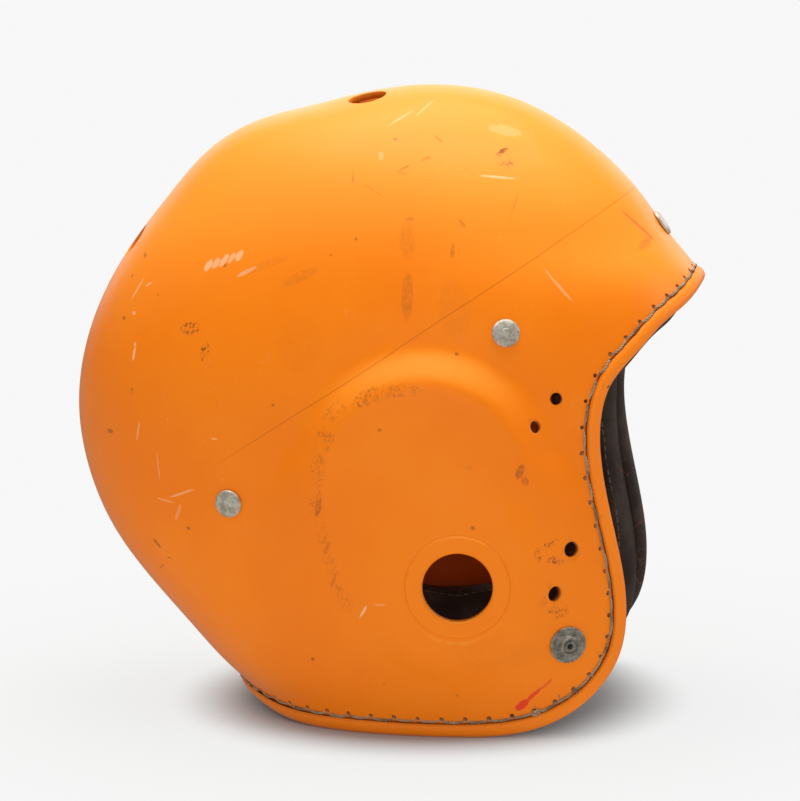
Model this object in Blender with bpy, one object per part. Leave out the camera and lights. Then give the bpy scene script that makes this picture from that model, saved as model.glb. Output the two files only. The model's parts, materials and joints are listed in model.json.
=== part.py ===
"""A hard-shell football helmet of the 1950s, built as it comes apart on a bench.

One moulded shell with raised ear domes, a rolled welt that grips the shell's edge, domed rivets that
carry a web suspension, a sweatband, leather-covered pads at brow, jaws and nape, and a press stud
on each cheek for the chin strap.

Frame: +X is where the face looks, +Y is the wearer's left, +Z is up. The origin lies on the table,
under the middle of the helmet. Lengths are in metres. Shares are parts of the sizes they follow.
"""

import math

import bmesh
import bpy
import numpy as np
from mathutils import Matrix, Vector
from mathutils.bvhtree import BVHTree

# The shell as a whole
HELMET_LENGTH = 0.299
HELMET_HEIGHT = 0.2915
SHELL_WIDTH = 0.208
SHELL_WALL = 0.0032
CLEARANCE = 0.0003
OVERRUN = 0.005

# Side outline on the centre plane, from below the face over the crown to below the nape:
# x as a share of half the length, z as a share of the height
SIDE_OUTLINE_SHARES = (
    (0.925, 0.000), (1.015, 0.200), (1.045, 0.400), (1.035, 0.580),
    (0.967, 0.702), (0.878, 0.760), (0.794, 0.820), (0.651, 0.897), (0.480, 0.957),
    (0.300, 0.991), (0.120, 1.000), (-0.060, 0.990), (-0.250, 0.966), (-0.455, 0.935),
    (-0.590, 0.890), (-0.712, 0.819), (-0.832, 0.738), (-0.924, 0.655), (-0.985, 0.560),
    (-1.000, 0.475), (-0.972, 0.385), (-0.893, 0.288), (-0.776, 0.207), (-0.640, 0.130),
    (-0.515, 0.064), (-0.445, 0.028), (-0.420, -0.030))
# Level sections: the widest level, how much the skirt draws in below it, and the roundness of
# the sections at the skirt and at the crown
WIDEST_HEIGHT_SHARE = 0.50
SKIRT_NARROWING_SHARE = 0.10
SECTION_POWERS = (2.45, 2.0)

# Edge of the shell in the side view, from the brow round the face and the jaw to the nape
BROW_HEIGHT_SHARE = 0.700
NAPE_HEIGHT_SHARE = 0.040
EDGE_SHARES = (
    (0.945, 0.684), (0.872, 0.654), (0.798, 0.614), (0.717, 0.565), (0.681, 0.503),
    (0.683, 0.435), (0.733, 0.302), (0.760, 0.180), (0.743, 0.131), (0.661, 0.069),
    (0.521, 0.028), (0.330, 0.0125), (0.100, 0.0115), (-0.139, 0.0125), (-0.300, 0.019),
    (-0.385, 0.030))

# Ear dome: a low round swelling with a firm step above and behind, running out towards the jaw
EAR_DOME_PLACE_SHARES = (0.182, 0.405)
EAR_DOME_RISE = 0.008
EAR_DOME_TOP_RADIUS = 0.045
EAR_DOME_FOOT_RADIUS = 0.063
EAR_DOME_RUN_OUT = 0.055
EAR_DOME_LEAN_SHARE = 0.25

# Ear hole with its raised ring, on a flat that the mould gives it
EAR_PLACE_SHARES = (0.287, 0.247)
EAR_HOLE_DIAMETER = 0.03175
EAR_RING_DIAMETER = 0.0477
EAR_RING_RISE = 0.0012
EAR_RING_ROUNDING = 0.0005
EAR_FLAT_MARGIN = 0.002
EAR_FLAT_BLEND = 0.024

# Air vents: a pair on the crown and a pair on the upper back
VENT_DIAMETER = 0.018
CROWN_VENT_SPACING = 0.034
CROWN_VENT_PLACE_SHARE = -0.065
BACK_VENT_SPACING = 0.032
BACK_VENT_HEIGHT_SHARE = 0.747

# Bolt holes for a face mask, two at the temple and two on the cheek: place and diameter
TEMPLE_HOLE_DIAMETER = 0.0055
CHEEK_HOLE_DIAMETER = 0.0070
TEMPLE_HOLE_SHARES = ((0.572, 0.535), (0.514, 0.494))
CHEEK_HOLE_SHARES = ((0.622, 0.301), (0.575, 0.233))

# Domed rivets that carry the suspension
RIVET_HEAD_DIAMETER = 0.0127
RIVET_HEAD_RISE = 0.0021
RIVET_SHANK_DIAMETER = 0.0040
RIVET_TAIL_DIAMETER = 0.0070
RIVET_TAIL_THICKNESS = 0.0008
RIVET_WASHER_DIAMETER = 0.0115
RIVET_WASHER_THICKNESS = 0.0008
BROW_RIVET_HEIGHT_SHARE = 0.780
REAR_RIVET_HEIGHT_SHARE = 0.330
FRONT_SIDE_RIVET_SHARES = (0.420, 0.637)
REAR_SIDE_RIVET_SHARES = (-0.422, 0.364)

# Chin strap stud: a flanged post held by a hollow eyelet, with a washer inside
STUD_PLACE_SHARES = (0.610, 0.149)
STUD_FLANGE_DIAMETER = 0.0170
STUD_FLANGE_THICKNESS = 0.0010
STUD_POST_DIAMETER = 0.0096
STUD_NECK_DIAMETER = 0.0084
STUD_HEIGHT = 0.0042
EYELET_DIAMETER = 0.0038
EYELET_BORE = 0.0026
EYELET_LIP_DIAMETER = 0.0058
EYELET_LIP_THICKNESS = 0.0006
STUD_WASHER_DIAMETER = 0.0120
STUD_WASHER_THICKNESS = 0.0008

# Welt: a round bead slotted over the shell's edge, with a tail sewn along the inside
WELT_DIAMETER = 0.0075
WELT_REACH = 0.00025
WELT_TAIL_LENGTH = 0.008
WELT_TAIL_THICKNESS = 0.0013
WELT_TAIL_LEAN = 0.0007
WELT_LIP_LEAN = 0.0005
WELT_FLAT_DEPTH = 0.0005

# Web suspension: straps that hang away from the wall between the rivets and a lace at the crown.
# For each rivet: how far up the strap the sweatband crosses, and how deep under the shell the
# strap hangs at the band's lower and upper edge.
WEB_WIDTH = 0.020
WEB_THICKNESS = 0.0013
WEB_STAND_OFF = 0.0015
WEB_TAB_LENGTH = 0.008
WEB_PLACE_SHARE = -0.027
BAND_CROSSINGS = {
    "brow": (0.036, 0.0115, 0.0175), "rear": (0.050, 0.0220, 0.0300),
    "front_right": (0.038, 0.0140, 0.0200), "front_left": (0.038, 0.0140, 0.0200),
    "rear_right": (0.052, 0.0170, 0.0230), "rear_left": (0.052, 0.0170, 0.0230)}
LACE_DIAMETER = 0.0030
LACE_RING_RADIUS = 0.037
LACE_DROP = 0.028
WEB_FOLD_SHARES = (
    (3.2, 1.0), (0.0, 1.0), (-0.71, 0.71), (-1.0, 0.0), (-0.71, -0.71), (0.0, -1.0),
    (1.5, -0.75), (3.4, -0.05), (5.0, 0.15))

# Sweatband: a leather ring sewn to the straps
BAND_WIDTH = 0.025
BAND_THICKNESS = 0.0024

# Pads: width across the shell's edge, thickness and how far along the edge they run, as shares
# of the whole edge from the brow's middle round to the nape's middle and back
PAD_OVERHANG = 0.0040
PAD_SEAT = 0.0012
JAW_PAD_WIDTH = 0.046
JAW_PAD_THICKNESS = 0.014
JAW_PAD_WIDTH_SHARES = (
    (0.116, 0.55), (0.150, 0.84), (0.175, 0.83), (0.200, 0.78), (0.225, 0.84), (0.250, 0.92),
    (0.275, 0.88), (0.300, 0.80), (0.325, 0.77), (0.350, 0.86), (0.385, 0.72))
BROW_PAD_WIDTH = 0.035
BROW_PAD_THICKNESS = 0.011
BROW_PAD_WIDTH_SHARES = ((-0.104, 0.60), (-0.060, 0.90), (0.0, 1.0), (0.060, 0.90), (0.104, 0.60))
NAPE_PAD_WIDTH = 0.038
NAPE_PAD_THICKNESS = 0.010
NAPE_PAD_WIDTH_SHARES = ((0.405, 0.62), (0.450, 0.92), (0.500, 1.0), (0.550, 0.92), (0.595, 0.62))
PAD_SIDE_SHARE = 0.42
PAD_END_SHARES = (0.45, 0.80, 0.95)

# The point that the shell is laid out from, and the pole of its grid high on the back
HEAD_CENTRE_SHARE = 0.446
GRID_POLE_SHARES = (-0.55, 0.83)

# Fineness of the facets
GRID_CELLS = 16
CURVE_STEPS = 60
EDGE_SAMPLES = 1600
ROUND_SIDES = 18
HOLE_SIDES = 32
SMALL_HOLE_SIDES = 16
BEAD_STEPS = 7
LACE_SIDES = 6
BAND_STEPS = 7
PAD_STATIONS = 23
PROBE_STEP_SHARE = 0.003
NEAR_TOP_SHARE = 0.999999
HALVINGS = 44

PARTS = {}


def smooth_curve(points, steps):
    """Samples a cubic spline with free ends through the points, with this many steps a span."""
    knots = np.asarray(points, float)
    gaps = np.linalg.norm(np.diff(knots[:, :3], axis=0), axis=1)
    count = len(knots)
    system = np.zeros((count, count))
    bend = np.zeros(knots.shape)
    system[0, 0] = system[-1, -1] = 1
    for i in range(1, count - 1):
        system[i, i - 1:i + 2] = gaps[i - 1], 2 * (gaps[i - 1] + gaps[i]), gaps[i]
        bend[i] = 6 * ((knots[i + 1] - knots[i]) / gaps[i] - (knots[i] - knots[i - 1]) / gaps[i - 1])
    bend = np.linalg.solve(system, bend)
    samples = []
    for i in range(count - 1):
        for step in range(steps):
            ahead = step / steps
            back = 1 - ahead
            pull = (back**3 - back) * bend[i] + (ahead**3 - ahead) * bend[i + 1]
            samples.append(back * knots[i] + ahead * knots[i + 1] + gaps[i]**2 / 6 * pull)
    samples.append(knots[-1])
    return np.array(samples)


def smooth_step(share):
    share = np.clip(share, 0, 1)
    return share * share * (3 - 2 * share)


def unit(vectors):
    return vectors / np.linalg.norm(vectors, axis=-1, keepdims=True)


# The outer surface. Every level section is a rounded oval between the side outline's two ends.
OUTLINE = smooth_curve(
    np.array(SIDE_OUTLINE_SHARES) * (HELMET_LENGTH / 2, HELMET_HEIGHT), CURVE_STEPS)
CROWN = int(np.argmax(OUTLINE[:, 1]))
CROWN_HEIGHT = OUTLINE[CROWN, 1]
FRONT_LINE = OUTLINE[:CROWN + 1]
REAR_LINE = OUTLINE[CROWN:][::-1]
HEAD_CENTRE = np.array([0, 0, HEAD_CENTRE_SHARE * HELMET_HEIGHT])
GRID_POLE = unit(np.array([GRID_POLE_SHARES[0], 0, GRID_POLE_SHARES[1]]))


def side_place(shares):
    """A place of the side view, from its shares of half the length and of the height."""
    return shares[0] * HELMET_LENGTH / 2, shares[1] * HELMET_HEIGHT


def section(z):
    """Middle, half length, half width and roundness of the level section at each height."""
    z = np.minimum(z, CROWN_HEIGHT * NEAR_TOP_SHARE)
    front = np.interp(z, FRONT_LINE[:, 1], FRONT_LINE[:, 0])
    rear = np.interp(z, REAR_LINE[:, 1], REAR_LINE[:, 0])
    widest = WIDEST_HEIGHT_SHARE * HELMET_HEIGHT
    rise = np.clip((z - widest) / (CROWN_HEIGHT - widest), 0, 1)
    fall = np.clip((widest - z) / widest, 0, None)
    narrowing = np.where(z > widest, np.sqrt(1 - rise**2), 1 - SKIRT_NARROWING_SHARE * fall**2)
    low, high = SECTION_POWERS
    power = low + (high - low) * smooth_step(z / CROWN_HEIGHT)
    return (front + rear) / 2, (front - rear) / 2, SHELL_WIDTH / 2 * narrowing, power


def plain_flank(x, z):
    """Distance of the surface from the centre plane, without the ear dome."""
    middle, half_length, half_width, power = section(z)
    along = np.clip(np.abs(x - middle) / half_length, 0, 1)
    return half_width * (1 - along**power)**(1 / power)


def ear_dome(x, z):
    dome_x, dome_z = side_place(EAR_DOME_PLACE_SHARES)
    angle = np.arctan2(z - dome_z, x - dome_x)
    lean = EAR_DOME_LEAN_SHARE
    low = np.clip((lean - np.sin(angle)) / (1 + lean), 0, 1)
    foot = EAR_DOME_FOOT_RADIUS + EAR_DOME_RUN_OUT * low
    distance = np.hypot(x - dome_x, z - dome_z)
    return EAR_DOME_RISE * smooth_step((foot - distance) / (foot - EAR_DOME_TOP_RADIUS))


def ear_plane():
    """Height and slopes of the flat that the ear ring stands on."""
    x, z = side_place(EAR_PLACE_SHARES)
    probe = PROBE_STEP_SHARE * HELMET_LENGTH

    def domed(at_x, at_z):
        return plain_flank(at_x, at_z) + ear_dome(at_x, at_z)

    slope_x = (domed(x + probe, z) - domed(x - probe, z)) / (2 * probe)
    slope_z = (domed(x, z + probe) - domed(x, z - probe)) / (2 * probe)
    return domed(x, z), slope_x, slope_z


EAR_HEIGHT, EAR_SLOPE_X, EAR_SLOPE_Z = ear_plane()


def swelling(x, z):
    """What the ear dome and the flat round the ear hole add to the plain flank."""
    ear_x, ear_z = side_place(EAR_PLACE_SHARES)
    inner = EAR_RING_DIAMETER / 2 + EAR_FLAT_MARGIN
    flat = smooth_step((inner + EAR_FLAT_BLEND - np.hypot(x - ear_x, z - ear_z)) / EAR_FLAT_BLEND)
    plane = EAR_HEIGHT + EAR_SLOPE_X * (x - ear_x) + EAR_SLOPE_Z * (z - ear_z)
    dome = ear_dome(x, z)
    return dome + flat * (plane - plain_flank(x, z) - dome)


def flank(x, z):
    return plain_flank(x, z) + swelling(x, z)


def fullness(points):
    """Rises through 1 where a point leaves the shell's outer surface."""
    x, y, z = points[..., 0], np.abs(points[..., 1]), points[..., 2]
    middle, half_length, half_width, power = section(z)
    along = np.abs(x - middle) / half_length
    across = np.maximum(y - swelling(x, z), 0) / half_width
    return np.where(z < CROWN_HEIGHT, along**power + across**power, np.inf)


def surface_hit(start, directions):
    """Where rays from a point inside meet the outer surface."""
    near = np.zeros(directions.shape[:-1])
    far = np.full(directions.shape[:-1], HELMET_LENGTH)
    for _ in range(HALVINGS):
        middle = (near + far) / 2
        inside = fullness(start + directions * middle[..., None]) < 1
        near = np.where(inside, middle, near)
        far = np.where(inside, far, middle)
    return start + directions * far[..., None]


def surface_normal(points):
    """Outward normals of the outer surface at points on it."""
    out = unit(points - HEAD_CENTRE)
    sideways = np.abs(out[..., 1:2]) > math.sqrt(1 / 2)
    first = unit(np.cross(out, np.where(sideways, (1.0, 0.0, 0.0), (0.0, 1.0, 0.0))))
    spans = []
    for turn in (first, np.cross(out, first)):
        ahead = surface_hit(HEAD_CENTRE, unit(out + PROBE_STEP_SHARE * turn))
        behind = surface_hit(HEAD_CENTRE, unit(out - PROBE_STEP_SHARE * turn))
        spans.append(ahead - behind)
    normal = unit(np.cross(spans[0], spans[1]))
    return normal * np.sign(np.sum(normal * out, axis=-1, keepdims=True))


def edge_loop():
    """The shell's edge as a closed line in space, from the brow round the right side and back."""
    brow_z = BROW_HEIGHT_SHARE * HELMET_HEIGHT
    nape_z = NAPE_HEIGHT_SHARE * HELMET_HEIGHT
    brow = np.interp(brow_z, FRONT_LINE[:, 1], FRONT_LINE[:, 0]), brow_z
    nape = np.interp(nape_z, REAR_LINE[:, 1], REAR_LINE[:, 0]), nape_z
    places = [brow] + [side_place(shares) for shares in EDGE_SHARES] + [nape]
    line = smooth_curve(places, EDGE_SAMPLES // len(places))
    right = np.stack([line[:, 0], -flank(line[:, 0], line[:, 1]), line[:, 1]], axis=-1)
    left = (right * (1, -1, 1))[::-1]
    return np.concatenate([right, left[1:]])


EDGE_LOOP = edge_loop()
EDGE_SHARE_ALONG = np.concatenate([[0], np.cumsum(np.linalg.norm(np.diff(EDGE_LOOP, axis=0), axis=1))])
EDGE_SHARE_ALONG /= EDGE_SHARE_ALONG[-1]


def grid_directions(along, depth):
    """Directions from the head's centre. Depth is 1 at the shell's edge and 0 at the grid's pole."""
    edge = [np.interp(np.mod(along, 1), EDGE_SHARE_ALONG, EDGE_LOOP[:, axis]) for axis in range(3)]
    edge = unit(np.stack(edge, axis=-1) - HEAD_CENTRE)
    sweep = np.arccos(edge @ GRID_POLE)[..., None]
    turn = np.asarray(depth)[..., None]
    return (np.sin((1 - turn) * sweep) * GRID_POLE + np.sin(turn * sweep) * edge) / np.sin(sweep)


def on_surface_from_edge(along, distances):
    """Surface points at the given distances inwards from the edge, on one line to the pole."""
    depths = np.linspace(1 + 2 * PAD_OVERHANG / SHELL_WIDTH, 1 / 3, CURVE_STEPS)
    line = surface_hit(HEAD_CENTRE, grid_directions(np.full(CURVE_STEPS, along), depths))
    travel = np.concatenate([[0], np.cumsum(np.linalg.norm(np.diff(line, axis=0), axis=1))])
    travel -= np.interp(1, depths[::-1], travel[::-1])
    depth = np.interp(distances, travel, depths)
    return surface_hit(HEAD_CENTRE, grid_directions(np.full(len(depth), along), depth))


def make_material(name, colour, roughness, metallic=0):
    material = bpy.data.materials.new(name)
    material.use_nodes = True
    shader = material.node_tree.nodes["Principled BSDF"]
    shader.inputs["Base Color"].default_value = (*colour, 1)
    shader.inputs["Roughness"].default_value = roughness
    shader.inputs["Metallic"].default_value = metallic
    material.diffuse_color = (*colour, 1)
    return material


MATERIALS = {
    "orange_shell": ((0.90, 0.27, 0.012), 0.38, 0),
    "orange_vinyl": ((0.88, 0.26, 0.020), 0.48, 0),
    "nickel": ((0.52, 0.50, 0.45), 0.32, 1),
    "aged_steel": ((0.23, 0.24, 0.22), 0.42, 1),
    "brass": ((0.45, 0.34, 0.16), 0.40, 1),
    "cotton_web": ((0.62, 0.55, 0.42), 0.92, 0),
    "lace_cord": ((0.48, 0.40, 0.28), 0.88, 0),
    "tan_leather": ((0.26, 0.13, 0.06), 0.60, 0),
    "dark_leather": ((0.035, 0.020, 0.016), 0.55, 0),
}


def add_object(name, mesh, finish, matrix=None):
    """One named piece, with a material of its own, standing in the helmet's frame."""
    colour, roughness, metallic = MATERIALS[finish]
    mesh.materials.append(make_material(f"{name}_{finish}", colour, roughness, metallic))
    piece = bpy.data.objects.new(name, mesh)
    bpy.context.scene.collection.objects.link(piece)
    piece.parent = PARTS["frame"]
    if matrix is not None:
        piece.matrix_local = matrix
    mesh.shade_smooth()
    mesh.set_sharp_from_angle(angle=math.radians(35))
    PARTS[name] = piece
    return piece


def mesh_of(name, points, faces):
    mesh = bpy.data.meshes.new(name)
    mesh.from_pydata([tuple(point) for point in points], [], [tuple(face) for face in faces])
    mesh.validate()
    return mesh


def swept_mesh(name, rings, closed):
    """A skin over rings of points, closed into a loop or capped at its two ends."""
    count, sides = rings.shape[:2]
    faces = []
    for i in range(count if closed else count - 1):
        near, far = i * sides, (i + 1) % count * sides
        for j in range(sides):
            k = (j + 1) % sides
            faces.append((near + j, near + k, far + k, far + j))
    if not closed:
        faces.append(range(sides))
        faces.append(range((count - 1) * sides, count * sides))
    mesh = mesh_of(name, rings.reshape(-1, 3), faces)
    shape = bmesh.new()
    shape.from_mesh(mesh)
    bmesh.ops.recalc_face_normals(shape, faces=shape.faces)
    shape.to_mesh(mesh)
    shape.free()
    return mesh


def turned_mesh(name, profile, sides=ROUND_SIDES):
    """A piece turned round Z from its profile of (radius, height) points."""
    shape = bmesh.new()
    points = [shape.verts.new((radius, 0, height)) for radius, height in profile]
    edges = [shape.edges.new(pair) for pair in zip(points, points[1:])]
    if profile[0][0] > 0:
        edges.append(shape.edges.new((points[-1], points[0])))
    bmesh.ops.spin(shape, geom=points + edges, cent=(0, 0, 0), axis=(0, 0, 1),
                   angle=math.tau, steps=sides, use_merge=True)
    bmesh.ops.remove_doubles(shape, verts=shape.verts, dist=CLEARANCE / 100)
    bmesh.ops.recalc_face_normals(shape, faces=shape.faces)
    mesh = bpy.data.meshes.new(name)
    shape.to_mesh(mesh)
    shape.free()
    return mesh


def seat_matrix(point, normal):
    """Stands a turned piece on the surface, with its own Z along the normal."""
    rotation = Vector(normal).to_track_quat("Z", "Y").to_matrix().to_4x4()
    return Matrix.Translation(Vector(point)) @ rotation


# Shell
def grid_places():
    """A square grid bent to a disc: how far round the edge and how deep towards it each cell lies."""
    ticks = np.linspace(-1, 1, 2 * GRID_CELLS + 1)
    u, v = np.meshgrid(ticks, ticks, indexing="ij")
    disc_u, disc_v = u * np.sqrt(1 - v**2 / 2), v * np.sqrt(1 - u**2 / 2)
    return np.arctan2(disc_v, disc_u) / math.tau, np.minimum(np.hypot(disc_u, disc_v), 1)


def shell_grid():
    return surface_hit(HEAD_CENTRE, grid_directions(*grid_places()))


def border_cells(size):
    """The grid's border in order round the edge."""
    last = size - 1
    border = [(last, j) for j in range(last)] + [(i, last) for i in range(last, 0, -1)]
    return border + [(0, j) for j in range(last, 0, -1)] + [(i, 0) for i in range(last)]


def edge_frames(grid):
    """Points of the shell's edge, with the directions out of the edge and out of the wall."""
    border = border_cells(len(grid))
    alongs = grid_places()[0]
    along = np.array([alongs[cell] for cell in border])
    edge = np.array([grid[cell] for cell in border])
    spokes = edge - HEAD_CENTRE
    radius = np.linalg.norm(spokes, axis=1)
    depth = 1 - WELT_TAIL_LENGTH / (radius * np.arccos(spokes @ GRID_POLE / radius))
    outward = edge - surface_hit(HEAD_CENTRE, grid_directions(along, depth))
    run = unit(np.roll(edge, -1, axis=0) - np.roll(edge, 1, axis=0))
    outward = unit(outward - run * np.sum(outward * run, axis=1, keepdims=True))
    across = np.cross(run, outward)
    across *= np.sign(np.sum(across * spokes, axis=1, keepdims=True))
    return edge, outward, across


def shell_mesh(grid):
    """The wall between the outer surface and its copy one wall further in."""
    size = len(grid)
    middle = size // 2
    normals = surface_normal(grid)
    border = border_cells(size)
    for cell, across in zip(border, edge_frames(grid)[2]):
        normals[cell] = across
    points = np.concatenate([grid.reshape(-1, 3), (grid - normals * SHELL_WALL).reshape(-1, 3)])
    outer = []
    for i in range(size - 1):
        for j in range(size - 1):
            a, b = i * size + j, i * size + j + 1
            c, d = a + size + 1, a + size
            if (i < middle) == (j < middle):
                outer += [(a, b, c), (a, c, d)]
            else:
                outer += [(a, b, d), (b, c, d)]
    inner = [tuple(size * size + k for k in face[::-1]) for face in outer]
    rim = [i * size + j for i, j in border]
    side = [(a, b, size * size + b, size * size + a) for a, b in zip(rim, rim[1:] + rim[:1])]
    mesh = mesh_of("shell", points, outer + inner + side)
    shape = bmesh.new()
    shape.from_mesh(mesh)
    bmesh.ops.recalc_face_normals(shape, faces=shape.faces)
    shape.to_mesh(mesh)
    shape.free()
    return mesh


def cutter(name, mesh):
    tool = bpy.data.objects.new(name, mesh)
    bpy.context.scene.collection.objects.link(tool)
    tool.parent = PARTS["frame"]
    tool.hide_render = True
    tool.display_type = "WIRE"
    return tool


def drills(name, holes):
    """One tool with a round cutter for each hole: its seat, its diameter and its sides."""
    shape = bmesh.new()
    for matrix, diameter, sides in holes:
        bmesh.ops.create_cone(shape, cap_ends=True, segments=sides, radius1=diameter / 2,
                              radius2=diameter / 2, depth=2 * (SHELL_WALL + OVERRUN), matrix=matrix)
    mesh = bpy.data.meshes.new(name)
    shape.to_mesh(mesh)
    shape.free()
    return cutter(name, mesh)


def add_boolean(piece, name, operation, tool):
    modifier = piece.modifiers.new(name, "BOOLEAN")
    modifier.operation = operation
    modifier.object = tool
    modifier.solver = "EXACT"


class Seats:
    """Finds seats on the faceted shell, so that pieces stand on what is really there."""

    def __init__(self, mesh):
        shape = bmesh.new()
        shape.from_mesh(mesh)
        self.tree = BVHTree.FromBMesh(shape)
        shape.free()

    def at(self, point):
        normal = surface_normal(np.array(point, float))
        start = Vector(point) + Vector(normal) * OVERRUN
        hit = self.tree.ray_cast(start, -Vector(normal))[0]
        return np.array(hit if hit is not None else point), normal

    def rise_round(self, point, normal, radius):
        """How far the shell comes up round a seat, under the rim of a round piece."""
        stand = seat_matrix(point, normal)
        rise = 0
        for angle in np.arange(ROUND_SIDES) / ROUND_SIDES * math.tau:
            start = stand @ Vector((radius * math.cos(angle), radius * math.sin(angle), OVERRUN))
            hit, _, _, distance = self.tree.ray_cast(start, -Vector(normal))
            if hit is not None:
                rise = max(rise, OVERRUN - distance)
        return rise

    def on_side(self, shares, side):
        x, z = side_place(shares)
        return self.at((x, side * flank(x, z), z))

    def on_centre(self, height_share, line):
        z = height_share * HELMET_HEIGHT
        return self.at((np.interp(z, line[:, 1], line[:, 0]), 0, z))


def vent_seats(seats):
    """Two vents on the crown and two on the upper back."""
    places = []
    crown_x = CROWN_VENT_PLACE_SHARE * HELMET_LENGTH / 2
    back_z = BACK_VENT_HEIGHT_SHARE * HELMET_HEIGHT
    inner_back = HEAD_CENTRE * (1, 1, 0) + (0, 0, back_z)
    for side in (-1, 1):
        across = side * CROWN_VENT_SPACING / 2
        start = np.array([crown_x, across, HEAD_CENTRE[2]])
        places.append(seats.at(surface_hit(start, np.array([0.0, 0.0, 1.0]))))
        start = inner_back + (0, side * BACK_VENT_SPACING / 2, 0)
        places.append(seats.at(surface_hit(start, np.array([-1.0, 0.0, 0.0]))))
    return places


def rivet_seats(seats):
    places = {"brow": seats.on_centre(BROW_RIVET_HEIGHT_SHARE, FRONT_LINE),
              "rear": seats.on_centre(REAR_RIVET_HEIGHT_SHARE, REAR_LINE)}
    for side, word in ((-1, "right"), (1, "left")):
        places[f"front_{word}"] = seats.on_side(FRONT_SIDE_RIVET_SHARES, side)
        places[f"rear_{word}"] = seats.on_side(REAR_SIDE_RIVET_SHARES, side)
    return places


def build_shell(grid):
    mesh = shell_mesh(grid)
    seats = Seats(mesh)
    shell = add_object("shell", mesh, "orange_shell")

    ring_profile = [
        (0, EAR_RING_RISE), (EAR_RING_DIAMETER / 2 - EAR_RING_ROUNDING, EAR_RING_RISE),
        (EAR_RING_DIAMETER / 2, EAR_RING_RISE - EAR_RING_ROUNDING),
        (EAR_RING_DIAMETER / 2, -SHELL_WALL / 2), (0, -SHELL_WALL / 2)]
    holes = []
    rings = bmesh.new()
    for side in (-1, 1):
        matrix = seat_matrix(*seats.on_side(EAR_PLACE_SHARES, side))
        holes.append((matrix, EAR_HOLE_DIAMETER, HOLE_SIDES))
        ring = turned_mesh("ear_ring", ring_profile, HOLE_SIDES)
        ring.transform(matrix)
        rings.from_mesh(ring)
        for shares in TEMPLE_HOLE_SHARES:
            holes.append((seat_matrix(*seats.on_side(shares, side)), TEMPLE_HOLE_DIAMETER, SMALL_HOLE_SIDES))
        for shares in CHEEK_HOLE_SHARES:
            holes.append((seat_matrix(*seats.on_side(shares, side)), CHEEK_HOLE_DIAMETER, SMALL_HOLE_SIDES))
        stud_hole = EYELET_DIAMETER + 2 * CLEARANCE
        holes.append((seat_matrix(*seats.on_side(STUD_PLACE_SHARES, side)), stud_hole, SMALL_HOLE_SIDES))
    for place in vent_seats(seats):
        holes.append((seat_matrix(*place), VENT_DIAMETER, HOLE_SIDES))
    for place in rivet_seats(seats).values():
        holes.append((seat_matrix(*place), RIVET_SHANK_DIAMETER + 2 * CLEARANCE, SMALL_HOLE_SIDES))
    ring_mesh = bpy.data.meshes.new("ear_rings")
    rings.to_mesh(ring_mesh)
    rings.free()
    add_boolean(shell, "ear rings", "UNION", cutter("ear_ring_form", ring_mesh))
    add_boolean(shell, "holes", "DIFFERENCE", drills("hole_drills", holes))
    return seats


# Welt
def welt_section():
    """The bead with its slot for the shell's edge and its sewn tail, as (outward, across) points.

    Outward runs away from the shell's edge, across runs from the inside of the wall to the outside.
    """
    radius = WELT_DIAMETER / 2
    slot = SHELL_WALL / 2 + CLEARANCE
    tail = slot + WELT_TAIL_THICKNESS
    lip_angle = math.pi - math.asin((slot + WELT_LIP_LEAN) / radius)
    tail_angle = -math.pi + math.asin(min(tail / radius, 1))
    points = []
    for step in range(BEAD_STEPS + 1):
        angle = tail_angle + (lip_angle - tail_angle) * step / BEAD_STEPS
        points.append((WELT_REACH + radius * math.cos(angle), radius * math.sin(angle)))
    points += [(CLEARANCE, slot), (CLEARANCE, -slot), (-WELT_TAIL_LENGTH, -slot - WELT_TAIL_LEAN),
               (-WELT_TAIL_LENGTH, -tail - WELT_TAIL_LEAN)]
    return np.array(points)


def welt_rings(grid):
    """The welt's section at every station of the shell's edge."""
    edge, outward, across = edge_frames(grid)
    profile = welt_section()[None, :, :, None]
    middle = edge - across * SHELL_WALL / 2
    return middle[:, None] + outward[:, None] * profile[:, :, 0] + across[:, None] * profile[:, :, 1]


def build_welt(grid):
    rings = welt_rings(grid)
    table = rings[..., 2].min() + WELT_FLAT_DEPTH
    welt = add_object("edge_welt", swept_mesh("edge_welt", rings, closed=True), "orange_vinyl")
    depth = WELT_FLAT_DEPTH + OVERRUN
    shape = bmesh.new()
    size = (HELMET_LENGTH + OVERRUN, SHELL_WIDTH + OVERRUN, depth)
    matrix = Matrix.Translation((0, 0, table - depth / 2)) @ Matrix.Diagonal((*size, 1))
    bmesh.ops.create_cube(shape, size=1, matrix=matrix)
    mesh = bpy.data.meshes.new("table_block")
    shape.to_mesh(mesh)
    shape.free()
    add_boolean(welt, "table flat", "DIFFERENCE", cutter("table_block", mesh))
    return table


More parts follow.
